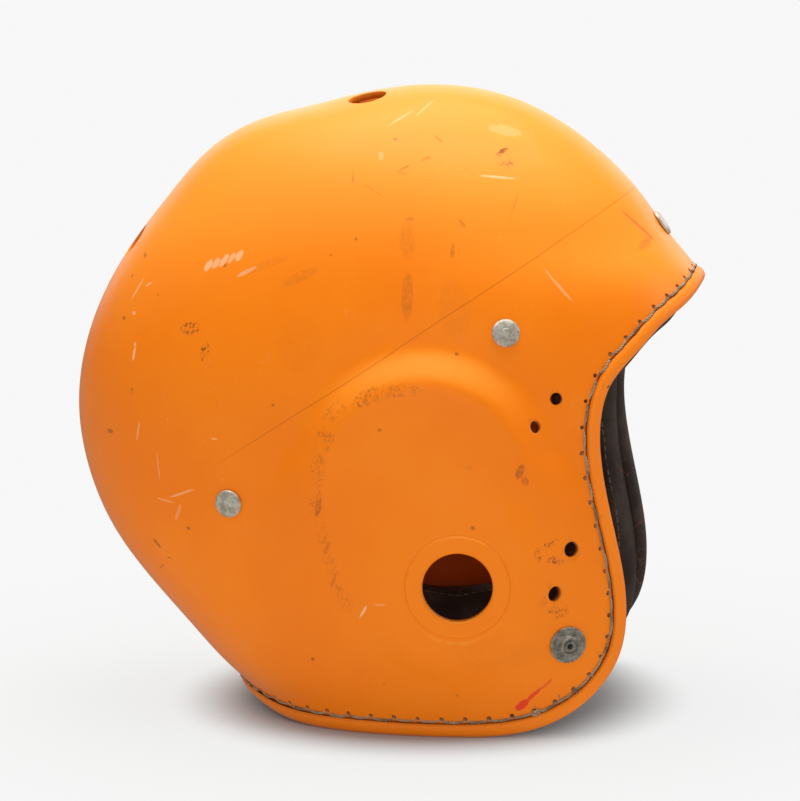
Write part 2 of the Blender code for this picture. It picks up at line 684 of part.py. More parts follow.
# Rivets and chin strap studs
def build_rivets(places, seats):
    """Six domed rivets, each clamping a strap's end under a washer inside the shell."""
    head = RIVET_HEAD_DIAMETER / 2
    shank = RIVET_SHANK_DIAMETER / 2
    tail = RIVET_TAIL_DIAMETER / 2
    washer_top = -SHELL_WALL - WEB_STAND_OFF - WEB_THICKNESS - CLEARANCE
    washer_bottom = washer_top - RIVET_WASHER_THICKNESS
    tail_top = washer_bottom - CLEARANCE
    bore = shank + CLEARANCE
    washer = RIVET_WASHER_DIAMETER / 2
    washer_profile = [(bore, washer_top), (washer, washer_top), (washer, washer_bottom), (bore, washer_bottom)]
    for name, (point, normal) in places.items():
        matrix = seat_matrix(point, normal)
        lift = CLEARANCE + seats.rise_round(point, normal, head)
        dome = [(head * math.sin(turn), lift + RIVET_HEAD_RISE * math.cos(turn))
                for turn in (0, math.pi / 8, math.pi / 4, math.pi * 3 / 8)]
        profile = dome + [
            (head, lift + RIVET_HEAD_RISE / 5), (head, lift), (shank, lift), (shank, tail_top),
            (tail, tail_top), (tail, tail_top - RIVET_TAIL_THICKNESS), (0, tail_top - RIVET_TAIL_THICKNESS)]
        add_object(f"rivet_{name}", turned_mesh("rivet", profile), "nickel", matrix)
        add_object(f"rivet_washer_{name}", turned_mesh("washer", washer_profile), "brass", matrix)


def build_studs(seats):
    """A flanged snap post on each cheek, its hollow eyelet and the washer behind the wall."""
    bore = EYELET_DIAMETER / 2 + CLEARANCE
    flange = STUD_FLANGE_DIAMETER / 2
    neck = STUD_NECK_DIAMETER / 2
    post = STUD_POST_DIAMETER / 2
    floor = CLEARANCE
    top = floor + STUD_HEIGHT
    step = STUD_FLANGE_THICKNESS
    stud_profile = [
        (bore, floor), (flange, floor), (flange, floor + step / 2), (flange - step / 2, floor + step),
        (neck + step, floor + step), (neck, floor + 3 * step / 2), (neck, top - 3 * step / 2),
        (post, top - step), (post, top - step / 2), (post - step / 2, top), (bore + 3 * step / 2, top),
        (bore + step, top - step / 2), (bore + step, top - step), (bore, top - step)]
    lip = EYELET_LIP_DIAMETER / 2
    outer = EYELET_DIAMETER / 2
    inner = EYELET_BORE / 2
    seat = top - step + CLEARANCE
    washer_top = -SHELL_WALL - CLEARANCE
    washer_bottom = washer_top - STUD_WASHER_THICKNESS
    clinch = washer_bottom - CLEARANCE
    eyelet_profile = [
        (inner, seat + EYELET_LIP_THICKNESS / 2), (outer, seat + EYELET_LIP_THICKNESS / 2),
        (outer, clinch), (lip, clinch), (lip, clinch - EYELET_LIP_THICKNESS), (inner, clinch - EYELET_LIP_THICKNESS)]
    washer = STUD_WASHER_DIAMETER / 2
    washer_profile = [(bore, washer_top), (washer, washer_top), (washer, washer_bottom), (bore, washer_bottom)]
    for side, word in ((-1, "right"), (1, "left")):
        matrix = seat_matrix(*seats.on_side(STUD_PLACE_SHARES, side))
        add_object(f"strap_stud_{word}", turned_mesh("stud", stud_profile), "aged_steel", matrix)
        add_object(f"stud_eyelet_{word}", turned_mesh("eyelet", eyelet_profile), "aged_steel", matrix)
        add_object(f"stud_washer_{word}", turned_mesh("washer", washer_profile), "brass", matrix)


# Web suspension
def lace_centre():
    return np.array([WEB_PLACE_SHARE * HELMET_LENGTH / 2, 0, CROWN_HEIGHT - LACE_DROP])


def closed_curve(knots, steps):
    """Samples a smooth closed line through the knots."""
    wrapped = list(knots[-3:]) + list(knots) + list(knots[:4])
    return smooth_curve(wrapped, steps)[3 * steps:(3 + len(knots)) * steps]


def strip_mesh(name, stations, width, thickness, closed=False):
    """A strap over stations of (place, width direction), with square edges."""
    place, wide = stations[:, :3], stations[:, 3:]
    if closed:
        run = unit(np.roll(place, -1, axis=0) - np.roll(place, 1, axis=0))
    else:
        run = unit(np.gradient(place, axis=0))
    thick = unit(np.cross(run, wide))
    wide = unit(np.cross(thick, run))
    corners = ((-1, -1), (1, -1), (1, 1), (-1, 1))
    rings = np.stack([place + wide * a * width / 2 + thick * b * thickness / 2 for a, b in corners], axis=1)
    return swept_mesh(name, rings, closed)


def strap_row(start, end, share, drop):
    """A place under the shell on the way from the rivet to the lace, with the strap's width there."""
    sweep = math.acos(start @ end)
    direction = (math.sin((1 - share) * sweep) * start + math.sin(share * sweep) * end) / math.sin(sweep)
    hit = surface_hit(HEAD_CENTRE, direction)
    out = surface_normal(hit)
    wide = unit(np.cross(end - start, out))
    return np.concatenate([hit - out * drop, wide])


def strap_rows(point, crossing):
    """Rows of a strap, from its tab below the rivet up to the lace, and the two at the sweatband."""
    rise, low_depth, high_depth = crossing
    centre = lace_centre()
    heading = unit((point - centre) * (1, 1, 0))
    lace_point = centre + heading * LACE_RING_RADIUS
    start, end = unit(point - HEAD_CENTRE), unit(lace_point - HEAD_CENTRE)
    reach = np.linalg.norm(point - HEAD_CENTRE) * math.acos(start @ end)
    wall = SHELL_WALL + WEB_STAND_OFF + WEB_THICKNESS / 2
    tab = WEB_TAB_LENGTH
    half = BAND_WIDTH * 11 / 20
    upper = (1 + (rise + half) / reach) / 2
    plan = ((-tab, wall), (0, wall), (tab, wall), (rise - half, low_depth), (rise, 0),
            (rise + half, high_depth), (upper * reach, (high_depth + LACE_DROP) / 2))
    rows = [strap_row(start, end, distance / reach, drop) for distance, drop in plan]
    rows[4] = (rows[3] + rows[5]) / 2
    tangent = np.cross(heading, (0, 0, 1))
    back = rows[-1][:3] - lace_point
    back = unit(back - tangent * (back @ tangent))
    above = np.cross(tangent, back)
    above *= math.copysign(1, above[2])
    fold = LACE_DIAMETER / 2 + 2 * CLEARANCE + WEB_THICKNESS / 2
    for along, up in WEB_FOLD_SHARES:
        rows.append(np.concatenate([lace_point + fold * (along * back + up * above), tangent]))
    if rows[0][3:] @ tangent < 0:
        for row in rows[:len(plan)]:
            row[3:] *= -1
    return rows


def build_straps(places):
    """Six straps, each with its rivet hole, and the sweatband that runs inside them."""
    straps = {name: strap_rows(place[0], BAND_CROSSINGS[name]) for name, place in places.items()}
    names = sorted(straps, key=lambda name: math.atan2(straps[name][4][1], straps[name][4][0]))
    ring = closed_curve([straps[name][4][:3] for name in names], BAND_STEPS)
    knots = []
    for i, name in enumerate(names):
        rows = straps[name]
        point, normal = places[name]
        along = unit(ring[BAND_STEPS * i + 1] - ring[BAND_STEPS * i - 1])
        along *= math.copysign(1, along @ rows[3][3:])
        rows[3][3:] = rows[4][3:] = rows[5][3:] = along
        mesh = strip_mesh(f"web_strap_{name}", smooth_curve(rows, 2), WEB_WIDTH, WEB_THICKNESS)
        strap = add_object(f"web_strap_{name}", mesh, "cotton_web")
        hole = (seat_matrix(point, normal), RIVET_SHANK_DIAMETER + 2 * CLEARANCE, SMALL_HOLE_SIDES)
        add_boolean(strap, "rivet hole", "DIFFERENCE", drills(f"punch_{name}", [hole]))
        low, high = rows[3][:3], rows[5][:3]
        climb = unit(high - low)
        inward = unit(np.cross(climb, along))
        inward *= math.copysign(1, inward @ (HEAD_CENTRE - low))
        middle = (low + high) / 2 + inward * (WEB_THICKNESS / 2 + 3 * CLEARANCE + BAND_THICKNESS / 2)
        knots.append(np.concatenate([middle, climb]))
    stations = closed_curve(knots, BAND_STEPS)
    add_object("sweatband", strip_mesh("sweatband", stations, BAND_WIDTH, BAND_THICKNESS, True), "tan_leather")


def build_lace(places):
    """The cord that draws the straps together, straight where it runs through their folds."""
    centre = lace_centre()
    headings = [unit((point - centre) * (1, 1, 0)) for point, _ in places.values()]
    headings.sort(key=lambda out: math.atan2(out[1], out[0]))
    knots = []
    for out in headings:
        tangent = np.array([-out[1], out[0], 0])
        for along in (-5 / 8, -1 / 4, 1 / 4, 5 / 8):
            knots.append(centre + out * LACE_RING_RADIUS + tangent * along * WEB_WIDTH)
    line = closed_curve(knots, 2)
    run = unit(np.roll(line, -1, axis=0) - np.roll(line, 1, axis=0))
    up = np.array([0, 0, 1.0])
    side = unit(np.cross(run, up))
    turns = np.arange(LACE_SIDES) / LACE_SIDES * math.tau
    rings = np.stack([line + LACE_DIAMETER / 2 * (side * math.cos(t) + up * math.sin(t)) for t in turns], axis=1)
    add_object("crown_lace", swept_mesh("crown_lace", rings, closed=True), "lace_cord")


# Pads
def pad_section(seat_start, seat_end, thickness):
    """A cushion's section: rows of (share across the width, depth under the outer surface)."""
    across = np.linspace(0, 1, 7)
    seat = seat_start + (seat_end - seat_start) * across
    crown = PAD_SIDE_SHARE + (1 - PAD_SIDE_SHARE) * (1 - np.abs(2 * across - 1)**3)
    back = np.stack([across[::-2], seat[::-2]], axis=1)
    front = np.stack([across, seat + thickness * crown], axis=1)
    return np.concatenate([front, back])


def build_pad(name, width, width_shares, thickness, seat_start, seat_end, mirrored=False):
    """A leather cushion along part of the shell's edge, its front lapping over the welt."""
    alongs, widths = np.array(width_shares).T
    stops = np.linspace(0, 1, PAD_STATIONS)
    along = alongs[0] + (alongs[-1] - alongs[0]) * stops
    wide = np.interp(along, alongs, widths) * width
    swell = np.ones(len(stops))
    ends = len(PAD_END_SHARES)
    swell[:ends] = PAD_END_SHARES
    swell[-ends:] = PAD_END_SHARES[::-1]
    rings = []
    for at, reach, fill in zip(along, wide, swell):
        rows = pad_section(seat_start, seat_end, thickness * fill)
        start = -PAD_OVERHANG * fill
        points = on_surface_from_edge(at, start + (reach - start) * rows[:, 0])
        rings.append(points - surface_normal(points) * rows[:, 1:])
    rings = np.array(rings)
    if mirrored:
        rings = rings * (1, -1, 1)
    add_object(name, swept_mesh(name, rings, closed=False), "dark_leather")


def build_pads():
    welt_depth = SHELL_WALL / 2 + WELT_DIAMETER / 2 + PAD_SEAT
    rivet_depth = (SHELL_WALL + WEB_STAND_OFF + WEB_THICKNESS + RIVET_WASHER_THICKNESS
                   + RIVET_TAIL_THICKNESS + 2 * CLEARANCE + PAD_SEAT)
    stud_depth = SHELL_WALL + STUD_WASHER_THICKNESS + EYELET_LIP_THICKNESS + 2 * CLEARANCE + PAD_SEAT
    jaw_depth = max(welt_depth, stud_depth)
    build_pad("jaw_pad_right", JAW_PAD_WIDTH, JAW_PAD_WIDTH_SHARES, JAW_PAD_THICKNESS, jaw_depth, jaw_depth)
    build_pad("jaw_pad_left", JAW_PAD_WIDTH, JAW_PAD_WIDTH_SHARES, JAW_PAD_THICKNESS, jaw_depth, jaw_depth,
              mirrored=True)
    build_pad("brow_pad", BROW_PAD_WIDTH, BROW_PAD_WIDTH_SHARES, BROW_PAD_THICKNESS, welt_depth, rivet_depth)
    build_pad("nape_pad", NAPE_PAD_WIDTH, NAPE_PAD_WIDTH_SHARES, NAPE_PAD_THICKNESS, welt_depth, welt_depth)


def main():
    for old in list(bpy.data.objects):
        bpy.data.objects.remove(old, do_unlink=True)
    frame = bpy.data.objects.new("helmet_frame", None)
    bpy.context.scene.collection.objects.link(frame)
    PARTS["frame"] = frame
    grid = shell_grid()
    seats = build_shell(grid)
    table = build_welt(grid)
    places = rivet_seats(seats)
    build_rivets(places, seats)
    build_studs(seats)
    build_straps(places)
    build_lace(places)
    build_pads()
    frame.location = (0, 0, -table)


main()
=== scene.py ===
"""A hard-shell football helmet of the 1950s, finished for a studio picture.

The moulded shell, its sewn welt, the rivets and strap studs, the web suspension and the leather
pads stand where the packed frame has them. +X is where the face looks, +Y is the wearer's left,
+Z is up, and lengths are in metres.
"""

import json
import math

import bmesh
import bpy
import numpy as np
from bpy.props import FloatProperty, FloatVectorProperty, PointerProperty
from bpy.types import Operator, Panel, PropertyGroup
from mathutils import Matrix, Vector
from mathutils.bvhtree import BVHTree
from mathutils.kdtree import KDTree

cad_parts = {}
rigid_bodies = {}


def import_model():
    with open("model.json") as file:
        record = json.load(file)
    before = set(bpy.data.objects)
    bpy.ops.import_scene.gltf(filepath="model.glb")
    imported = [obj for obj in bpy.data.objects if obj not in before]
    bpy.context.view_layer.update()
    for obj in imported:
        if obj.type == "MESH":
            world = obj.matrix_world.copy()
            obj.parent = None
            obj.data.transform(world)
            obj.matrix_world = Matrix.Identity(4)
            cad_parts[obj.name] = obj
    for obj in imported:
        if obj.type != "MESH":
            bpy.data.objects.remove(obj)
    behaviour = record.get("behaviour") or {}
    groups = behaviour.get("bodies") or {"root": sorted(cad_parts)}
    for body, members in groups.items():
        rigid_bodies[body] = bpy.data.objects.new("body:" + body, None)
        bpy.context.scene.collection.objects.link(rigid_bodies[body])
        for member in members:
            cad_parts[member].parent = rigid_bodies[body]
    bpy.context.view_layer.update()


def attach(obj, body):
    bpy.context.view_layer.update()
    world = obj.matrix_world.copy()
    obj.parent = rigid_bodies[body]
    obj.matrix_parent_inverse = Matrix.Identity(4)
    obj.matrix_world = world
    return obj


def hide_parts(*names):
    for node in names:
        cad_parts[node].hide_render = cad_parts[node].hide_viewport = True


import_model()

bl_info = {
    "name": "Hard-Shell Football Helmet",
    "version": (1, 0, 0),
    "blender": (4, 5, 0),
    "location": "View3D > Sidebar > Helmet",
    "description": "Builds a moulded football helmet with its sewn welt, suspension, pads and studs",
    "category": "Add Mesh",
}

# Side outline on the centre plane, from below the face over the crown to below the nape:
# x as a share of half the length, z as a share of the height
SIDE_OUTLINE_SHARES = (
    (0.925, 0.000), (1.015, 0.200), (1.045, 0.400), (1.035, 0.580),
    (0.967, 0.702), (0.878, 0.760), (0.794, 0.820), (0.651, 0.897), (0.480, 0.957),
    (0.300, 0.991), (0.120, 1.000), (-0.060, 0.990), (-0.250, 0.966), (-0.455, 0.935),
    (-0.590, 0.890), (-0.712, 0.819), (-0.832, 0.738), (-0.924, 0.655), (-0.985, 0.560),
    (-1.000, 0.475), (-0.972, 0.385), (-0.893, 0.288), (-0.776, 0.207), (-0.640, 0.130),
    (-0.515, 0.064), (-0.445, 0.028), (-0.420, -0.030))
# Edge of the shell in the side view, from the brow round the face and the jaw to the nape
EDGE_SHARES = (
    (0.945, 0.684), (0.872, 0.654), (0.798, 0.614), (0.717, 0.565), (0.681, 0.503),
    (0.683, 0.435), (0.733, 0.302), (0.760, 0.180), (0.743, 0.131), (0.661, 0.069),
    (0.521, 0.028), (0.330, 0.0125), (0.100, 0.0115), (-0.139, 0.0125), (-0.300, 0.019),
    (-0.385, 0.030))
SIDES = {"right": -1, "left": 1}
BROW_HEIGHT_SHARE = 0.700
NAPE_HEIGHT_SHARE = 0.040
# Widest level, how much the skirt draws in below it, and the roundness at the skirt and crown
WIDEST_HEIGHT_SHARE = 0.50
SKIRT_NARROWING_SHARE = 0.10
SECTION_POWERS = (2.45, 2.0)

# Where the grid over the shell has its centre, as a share of the height, and where its pole points
GRID_CENTRE_SHARE = 0.446
GRID_POLE = (-0.55, 0, 0.83)

# Places in the side view, as shares of half the length and of the height
EAR_DOME_SHARES = (0.182, 0.405)
EAR_SHARES = (0.287, 0.247)
TEMPLE_HOLE_SHARES = ((0.572, 0.535), (0.514, 0.494))
CHEEK_HOLE_SHARES = ((0.622, 0.301), (0.575, 0.233))
STUD_SHARES = (0.610, 0.149)
FRONT_RIVET_SHARES = (0.420, 0.637)
REAR_RIVET_SHARES = (-0.422, 0.364)
BROW_RIVET_SHARE = 0.780
NAPE_RIVET_SHARE = 0.330
CROWN_VENT_SHARE = -0.065
BACK_VENT_SHARE = 0.747
LACE_PLACE_SHARE = -0.027

# How far along the shell's edge each pad runs, from the brow's middle round the right side, and
# its width there as a share of the pad's full width
JAW_PAD_SHARES = (
    (0.116, 0.55), (0.150, 0.84), (0.175, 0.83), (0.200, 0.78), (0.225, 0.84), (0.250, 0.92),
    (0.275, 0.88), (0.300, 0.80), (0.325, 0.77), (0.350, 0.86), (0.385, 0.72))
BROW_PAD_SHARES = ((-0.104, 0.60), (-0.060, 0.90), (0.0, 1.0), (0.060, 0.90), (0.104, 0.60))
NAPE_PAD_SHARES = ((0.405, 0.62), (0.450, 0.92), (0.500, 1.0), (0.550, 0.92), (0.595, 0.62))

# For each rivet: how far up its strap the sweatband crosses, and how deep under the shell the
# strap hangs at the band's lower and upper edge
BAND_CROSSINGS = {
    "brow": (0.036, 0.0115, 0.0175), "rear": (0.050, 0.0220, 0.0300),
    "front_right": (0.038, 0.0140, 0.0200), "front_left": (0.038, 0.0140, 0.0200),
    "rear_right": (0.052, 0.0170, 0.0230), "rear_left": (0.052, 0.0170, 0.0230)}
# Where the left jaw pad's leather is folded over the welt, where it steps further round it, and
# how much it presses the bead flat outwards and across, all along the edge
FOLD_SPAN = (0.112, 0.372)
FOLD_STEP = 0.262
PRESSED_SPAN = (0.112, 0.374)
PRESSED_SHARES = (0.42, 0.2)
# How far along the edge each tuft of frayed thread is, its number of hairs and their length
TUFTS = ((0.268, 7, 0.006), (0.276, 6, 0.005), (0.289, 9, 0.0045), (0.256, 4, 0.004))
# The left jaw pad's sag along the edge, as a share of the full sag
SAG_PLACES = (0.116, 0.15, 0.28, 0.32, 0.385)
SAG_SHARES = (0.8, 1, 1, 0.5, 0.2)
# Steps of the finest grids: along the welt, and across the shell from its pole to its edge
WELT_STATIONS = 900
SHELL_CELLS = 90
# Where the bead's section is squared, as turns round it, and how square it is there
BEAD_FLAT_SPAN = (-0.4, 2.4)
BEAD_POWER = 2.3
# How far a drill reaches under the shell's outer face and over it
DRILL_DEPTH = 0.012
DRILL_HEIGHT = 0.006
# Samples from one row of a strap to the next, and from strap to strap round the sweatband
STRAP_STEPS = 12
RING_STEPS = 7
# The two rows of stitches that close a strap's fold round the lace
FOLD_SEAM_ROWS = (6 * STRAP_STEPS + 2, 6 * STRAP_STEPS + 5)
# Points across a cushion's face, the two of them that are sewn, and the stations at each end that aren't
CUSHION_POINTS = 15
SEWN_POINTS = (3, 12)
UNSEWN_STATIONS = 6
PAD_STITCH_PITCH = 0.004
# How many frames the stuffing swells for, and the furthest that it may press the leather out
STUFFING_FRAMES = 20
STUFFING_LIMIT = 0.0022
# The lowest that soft leather hangs
LEATHER_FLOOR = 0.0003
HAIR_RADIUS = 0.00014
# The strap's fold round the lace, back along the strap and up, in fold radii
FOLD_SHARES = (
    (3.2, 1.0), (0.0, 1.0), (-0.71, 0.71), (-1.0, 0.0), (-0.71, -0.71), (0.0, -1.0),
    (1.5, -0.75), (3.4, -0.05), (5.0, 0.15))


def size(name, default, description):
    return FloatProperty(name=name, description=description, default=default, min=0.0, unit="LENGTH",
                         precision=5)


def strength(name, default, description):
    return FloatProperty(name=name, description=description, default=default, min=0.0)


def tint(name, default, description):
    return FloatVectorProperty(name=name, description=description, default=default, size=3,
                               min=0.0, max=1.0, subtype="COLOR")


class HelmetShellSettings(PropertyGroup):
    """Sizes and colours of the moulded shell."""

    length: size("Length", 0.299, "Length of the bare shell from brow to back")
    height: size("Height", 0.2915, "Height of the bare shell over its own zero level")
    width: size("Width", 0.208, "Width of the shell without the ear domes")
    wall: size("Wall", 0.0032, "Thickness of the moulded wall")
    gap: size("Gap", 0.0003, "Clearance between the shell and what is fixed to it")
    stand: FloatProperty(name="Stand", description="How far the shell's zero level is raised off the table",
                         default=-0.0002, unit="LENGTH", precision=5)
    dome_rise: size("Dome Rise", 0.008, "How far the ear dome stands proud")
    dome_top: size("Dome Top", 0.045, "Radius of the ear dome's level top")
    dome_foot: size("Dome Foot", 0.063, "Radius of the ear dome's foot")
    dome_run_out: size("Dome Run-Out", 0.055, "How much further the dome's foot runs towards the jaw")
    ear_hole: size("Ear Hole", 0.03175, "Diameter of the ear hole")
    ear_ring: size("Ear Ring", 0.0477, "Diameter of the raised ring round the ear hole")
    ear_ring_rise: size("Ring Rise", 0.0012, "Height of the raised ring")
    vent: size("Vent", 0.018, "Diameter of the air vents")
    crown_vent_spacing: size("Crown Vent Spacing", 0.034, "Distance between the crown vents")
    back_vent_spacing: size("Back Vent Spacing", 0.032, "Distance between the back vents")
    temple_hole: size("Temple Hole", 0.0055, "Diameter of the upper mask bolt holes")
    cheek_hole: size("Cheek Hole", 0.0070, "Diameter of the lower mask bolt holes")
    colour: tint("Orange", (0.92, 0.213, 0.0008), "Colour of the moulded plastic")


class HelmetWeltSettings(PropertyGroup):
    """Sizes and colours of the welt and its stitching."""

    bead: size("Bead", 0.0075, "Diameter of the welt's bead")
    reach: size("Reach", 0.00025, "How far the bead's middle stands beyond the shell's edge")
    tail_length: size("Tail Length", 0.008, "Length of the tail sewn along the inside")
    tail_thickness: size("Tail Thickness", 0.0013, "Thickness of the tail")
    tail_lean: size("Tail Lean", 0.0007, "How far the tail leans off the wall")
    lip_lean: size("Lip Lean", 0.0005, "How far the bead's outer lip leans off the wall")
    stitch_pitch: size("Stitch Pitch", 0.0110, "Distance between the stitch holes")
    stitch_inset: size("Stitch Inset", 0.0050, "Distance of the stitching from the shell's edge")
    stitch_hole: size("Stitch Hole", 0.0016, "Diameter of the stitch holes")
    thread: size("Thread", 0.00066, "Diameter of one strand of the waxed thread")
    thread_bow: size("Thread Bow", 0.0012, "How far the thread lies from the holes towards the bead")
    colour: tint("Vinyl", (0.93, 0.225, 0.004), "Colour of the welt's vinyl")
    thread_colour: tint("Thread Colour", (0.40, 0.27, 0.16), "Colour of the waxed thread")


class HelmetHardwareSettings(PropertyGroup):
    """Sizes and colours of the rivets and chin strap studs."""

    rivet_head: size("Rivet Head", 0.0127, "Diameter of the rivet heads")
    rivet_rise: size("Rivet Rise", 0.0021, "Height of the rivet heads")
    rivet_shank: size("Rivet Shank", 0.0040, "Diameter of the rivet shanks")
    rivet_tail: size("Rivet Tail", 0.0070, "Diameter of the clinched tails")
    washer: size("Washer", 0.0115, "Diameter of the rivet washers")
    plate: size("Plate", 0.0008, "Thickness of tails and washers")
    flange: size("Stud Flange", 0.0170, "Diameter of the stud's flange")
    flange_thickness: size("Flange Thickness", 0.0010, "Thickness of the stud's flange")
    post: size("Stud Post", 0.0096, "Diameter of the snap post")
    neck: size("Stud Neck", 0.0084, "Diameter of the post's neck")
    post_height: size("Post Height", 0.0042, "Height of the snap post")
    eyelet: size("Eyelet", 0.0038, "Diameter of the eyelet")
    eyelet_bore: size("Eyelet Bore", 0.0026, "Bore of the eyelet")
    eyelet_lip: size("Eyelet Lip", 0.0058, "Diameter of the eyelet's clinched lip")
    eyelet_lip_thickness: size("Lip Thickness", 0.0006, "Thickness of the eyelet's lip")
    stud_washer: size("Stud Washer", 0.0120, "Diameter of the stud's washer")
    nickel: tint("Nickel", (0.78, 0.73, 0.62), "Colour of the rivets' nickel plate")
    steel: tint("Steel", (0.44, 0.42, 0.36), "Colour of the studs' tarnished steel")
    brass: tint("Brass", (0.45, 0.34, 0.16), "Colour of the washers")


class HelmetSuspensionSettings(PropertyGroup):
    """Sizes and colours of the web suspension."""

    web_width: size("Web Width", 0.020, "Width of the straps")
    web_thickness: size("Web Thickness", 0.0013, "Thickness of the straps")
    stand_off: size("Stand-Off", 0.0015, "Gap between the wall and a strap at its rivet")
    tab: size("Tab", 0.008, "Length of a strap below its rivet")
    band_width: size("Band Width", 0.025, "Width of the sweatband")
    band_thickness: size("Band Thickness", 0.0024, "Thickness of the sweatband")
    seam_pitch: size("Seam Pitch", 0.0042, "Distance between the stitches of the sweatband")
    lace: size("Lace", 0.0030, "Diameter of the crown lace")
    lace_ring: size("Lace Ring", 0.037, "Radius of the ring that the lace draws")
    lace_drop: size("Lace Drop", 0.028, "Depth of the lace under the crown")
    web_colour: tint("Webbing", (0.56, 0.48, 0.34), "Colour of the cotton webbing")
    lace_colour: tint("Lace Cord", (0.42, 0.33, 0.21), "Colour of the braided lace")
    band_colour: tint("Sweatband", (0.21, 0.095, 0.04), "Colour of the sweatband's leather")


class HelmetPadSettings(PropertyGroup):
    """Sizes and colours of the leather pads."""

    overhang: size("Overhang", 0.0040, "How far the pads lap over the edge")
    sag: size("Sag", 0.0090, "How much further the left pads have sagged over the edge")
    seat: size("Seat", 0.0012, "Gap under the pads")
    jaw_width: size("Jaw Pad Width", 0.046, "Width of the jaw pads")
    jaw_thickness: size("Jaw Pad Thickness", 0.014, "Thickness of the jaw pads")
    brow_width: size("Brow Pad Width", 0.035, "Width of the brow pad")
    brow_thickness: size("Brow Pad Thickness", 0.011, "Thickness of the brow pad")
    nape_width: size("Nape Pad Width", 0.038, "Width of the nape pad")
    nape_thickness: size("Nape Pad Thickness", 0.010, "Thickness of the nape pad")
    colour: tint("Leather", (0.030, 0.017, 0.011), "Colour of the worn leather")


class HelmetStageSettings(PropertyGroup):
    """The floor, the lamps and the camera."""

    camera_distance: size("Camera Distance", 1.8, "Distance of the camera from the helmet's middle")
    camera_yaw: FloatProperty(name="Camera Yaw", description="Turn of the camera towards the face",
                              default=math.radians(7), subtype="ANGLE")
    camera_height: FloatProperty(name="Camera Elevation", description="Angle of the camera above level",
                                 default=math.radians(8), subtype="ANGLE")
    lens: FloatProperty(name="Lens", description="Focal length in millimetres", default=170.1)
    target: FloatVectorProperty(name="Target", description="The point that the camera looks at",
                                default=(0.0036, 0.0, 0.141), subtype="TRANSLATION")
    backdrop: tint("Backdrop", (0.930, 0.935, 0.930), "Colour of the white backdrop")
    softbox: strength("Overhead Softbox", 29, "Power of the overhead softbox in watts")
    front_box: strength("Front Softbox", 21, "Power of the softbox in front in watts")
    side_box: strength("Side Softbox", 3, "Power of the softbox beside the brow in watts")
    room_low: strength("Room Low", 0.40, "Strength of the room's light near the horizon")
    room_high: strength("Room High", 0.5, "Strength of the room's light overhead")
    gloss_low: strength("Gloss Low", 0.10, "Strength of the room in reflections near the horizon")
    gloss_rear: strength("Gloss Rear", 1.3, "Strength of the backdrop in reflections")
    gloss_high: strength("Gloss High", 2.2, "Strength of the room in reflections overhead")
    floor: tint("Floor", (0.43, 0.424, 0.42), "Colour of the studio floor")


SETTINGS = {
    "helmet_shell": HelmetShellSettings, "helmet_welt": HelmetWeltSettings,
    "helmet_hardware": HelmetHardwareSettings, "helmet_suspension": HelmetSuspensionSettings,
    "helmet_pads": HelmetPadSettings, "helmet_stage": HelmetStageSettings}


# Curves and vectors
def smooth_curve(points, steps):
    """Samples a cubic spline with free ends through the points, with this many steps a span."""
    knots = np.asarray(points, float)
    gaps = lengths(np.diff(knots[:, :3], axis=0))
    count = len(knots)
    system = np.zeros((count, count))
    bend = np.zeros(knots.shape)
    system[0, 0] = system[-1, -1] = 1
    for i in range(1, count - 1):
        system[i, i - 1:i + 2] = gaps[i - 1], 2 * (gaps[i - 1] + gaps[i]), gaps[i]
        bend[i] = 6 * ((knots[i + 1] - knots[i]) / gaps[i] - (knots[i] - knots[i - 1]) / gaps[i - 1])
    bend = np.linalg.solve(system, bend)
    samples = []
    for i in range(count - 1):
        for step in range(steps):
            ahead = step / steps
            back = 1 - ahead
            pull = (back**3 - back) * bend[i] + (ahead**3 - ahead) * bend[i + 1]
            samples.append(back * knots[i] + ahead * knots[i + 1] + gaps[i]**2 / 6 * pull)
    samples.append(knots[-1])
    return np.array(samples)


def closed_curve(knots, steps):
    """Samples a smooth closed line through the knots."""
    wrapped = list(knots[-3:]) + list(knots) + list(knots[:4])
    return smooth_curve(wrapped, steps)[3 * steps:(3 + len(knots)) * steps]


def lengths(vectors):
    return np.linalg.norm(vectors, axis=-1)


def travelled(line):
    """How far along the line each of its points is."""
    return np.concatenate([[0], np.cumsum(lengths(np.diff(line, axis=0)))])


def smooth_step(share):
    share = np.clip(share, 0, 1)
    return share * share * (3 - 2 * share)


def unit(vectors):
    return vectors / lengths(vectors)[..., None]


def interpolate_rows(at, stops, rows):
    return np.stack([np.interp(at, stops, rows[:, k]) for k in range(rows.shape[1])], axis=-1)


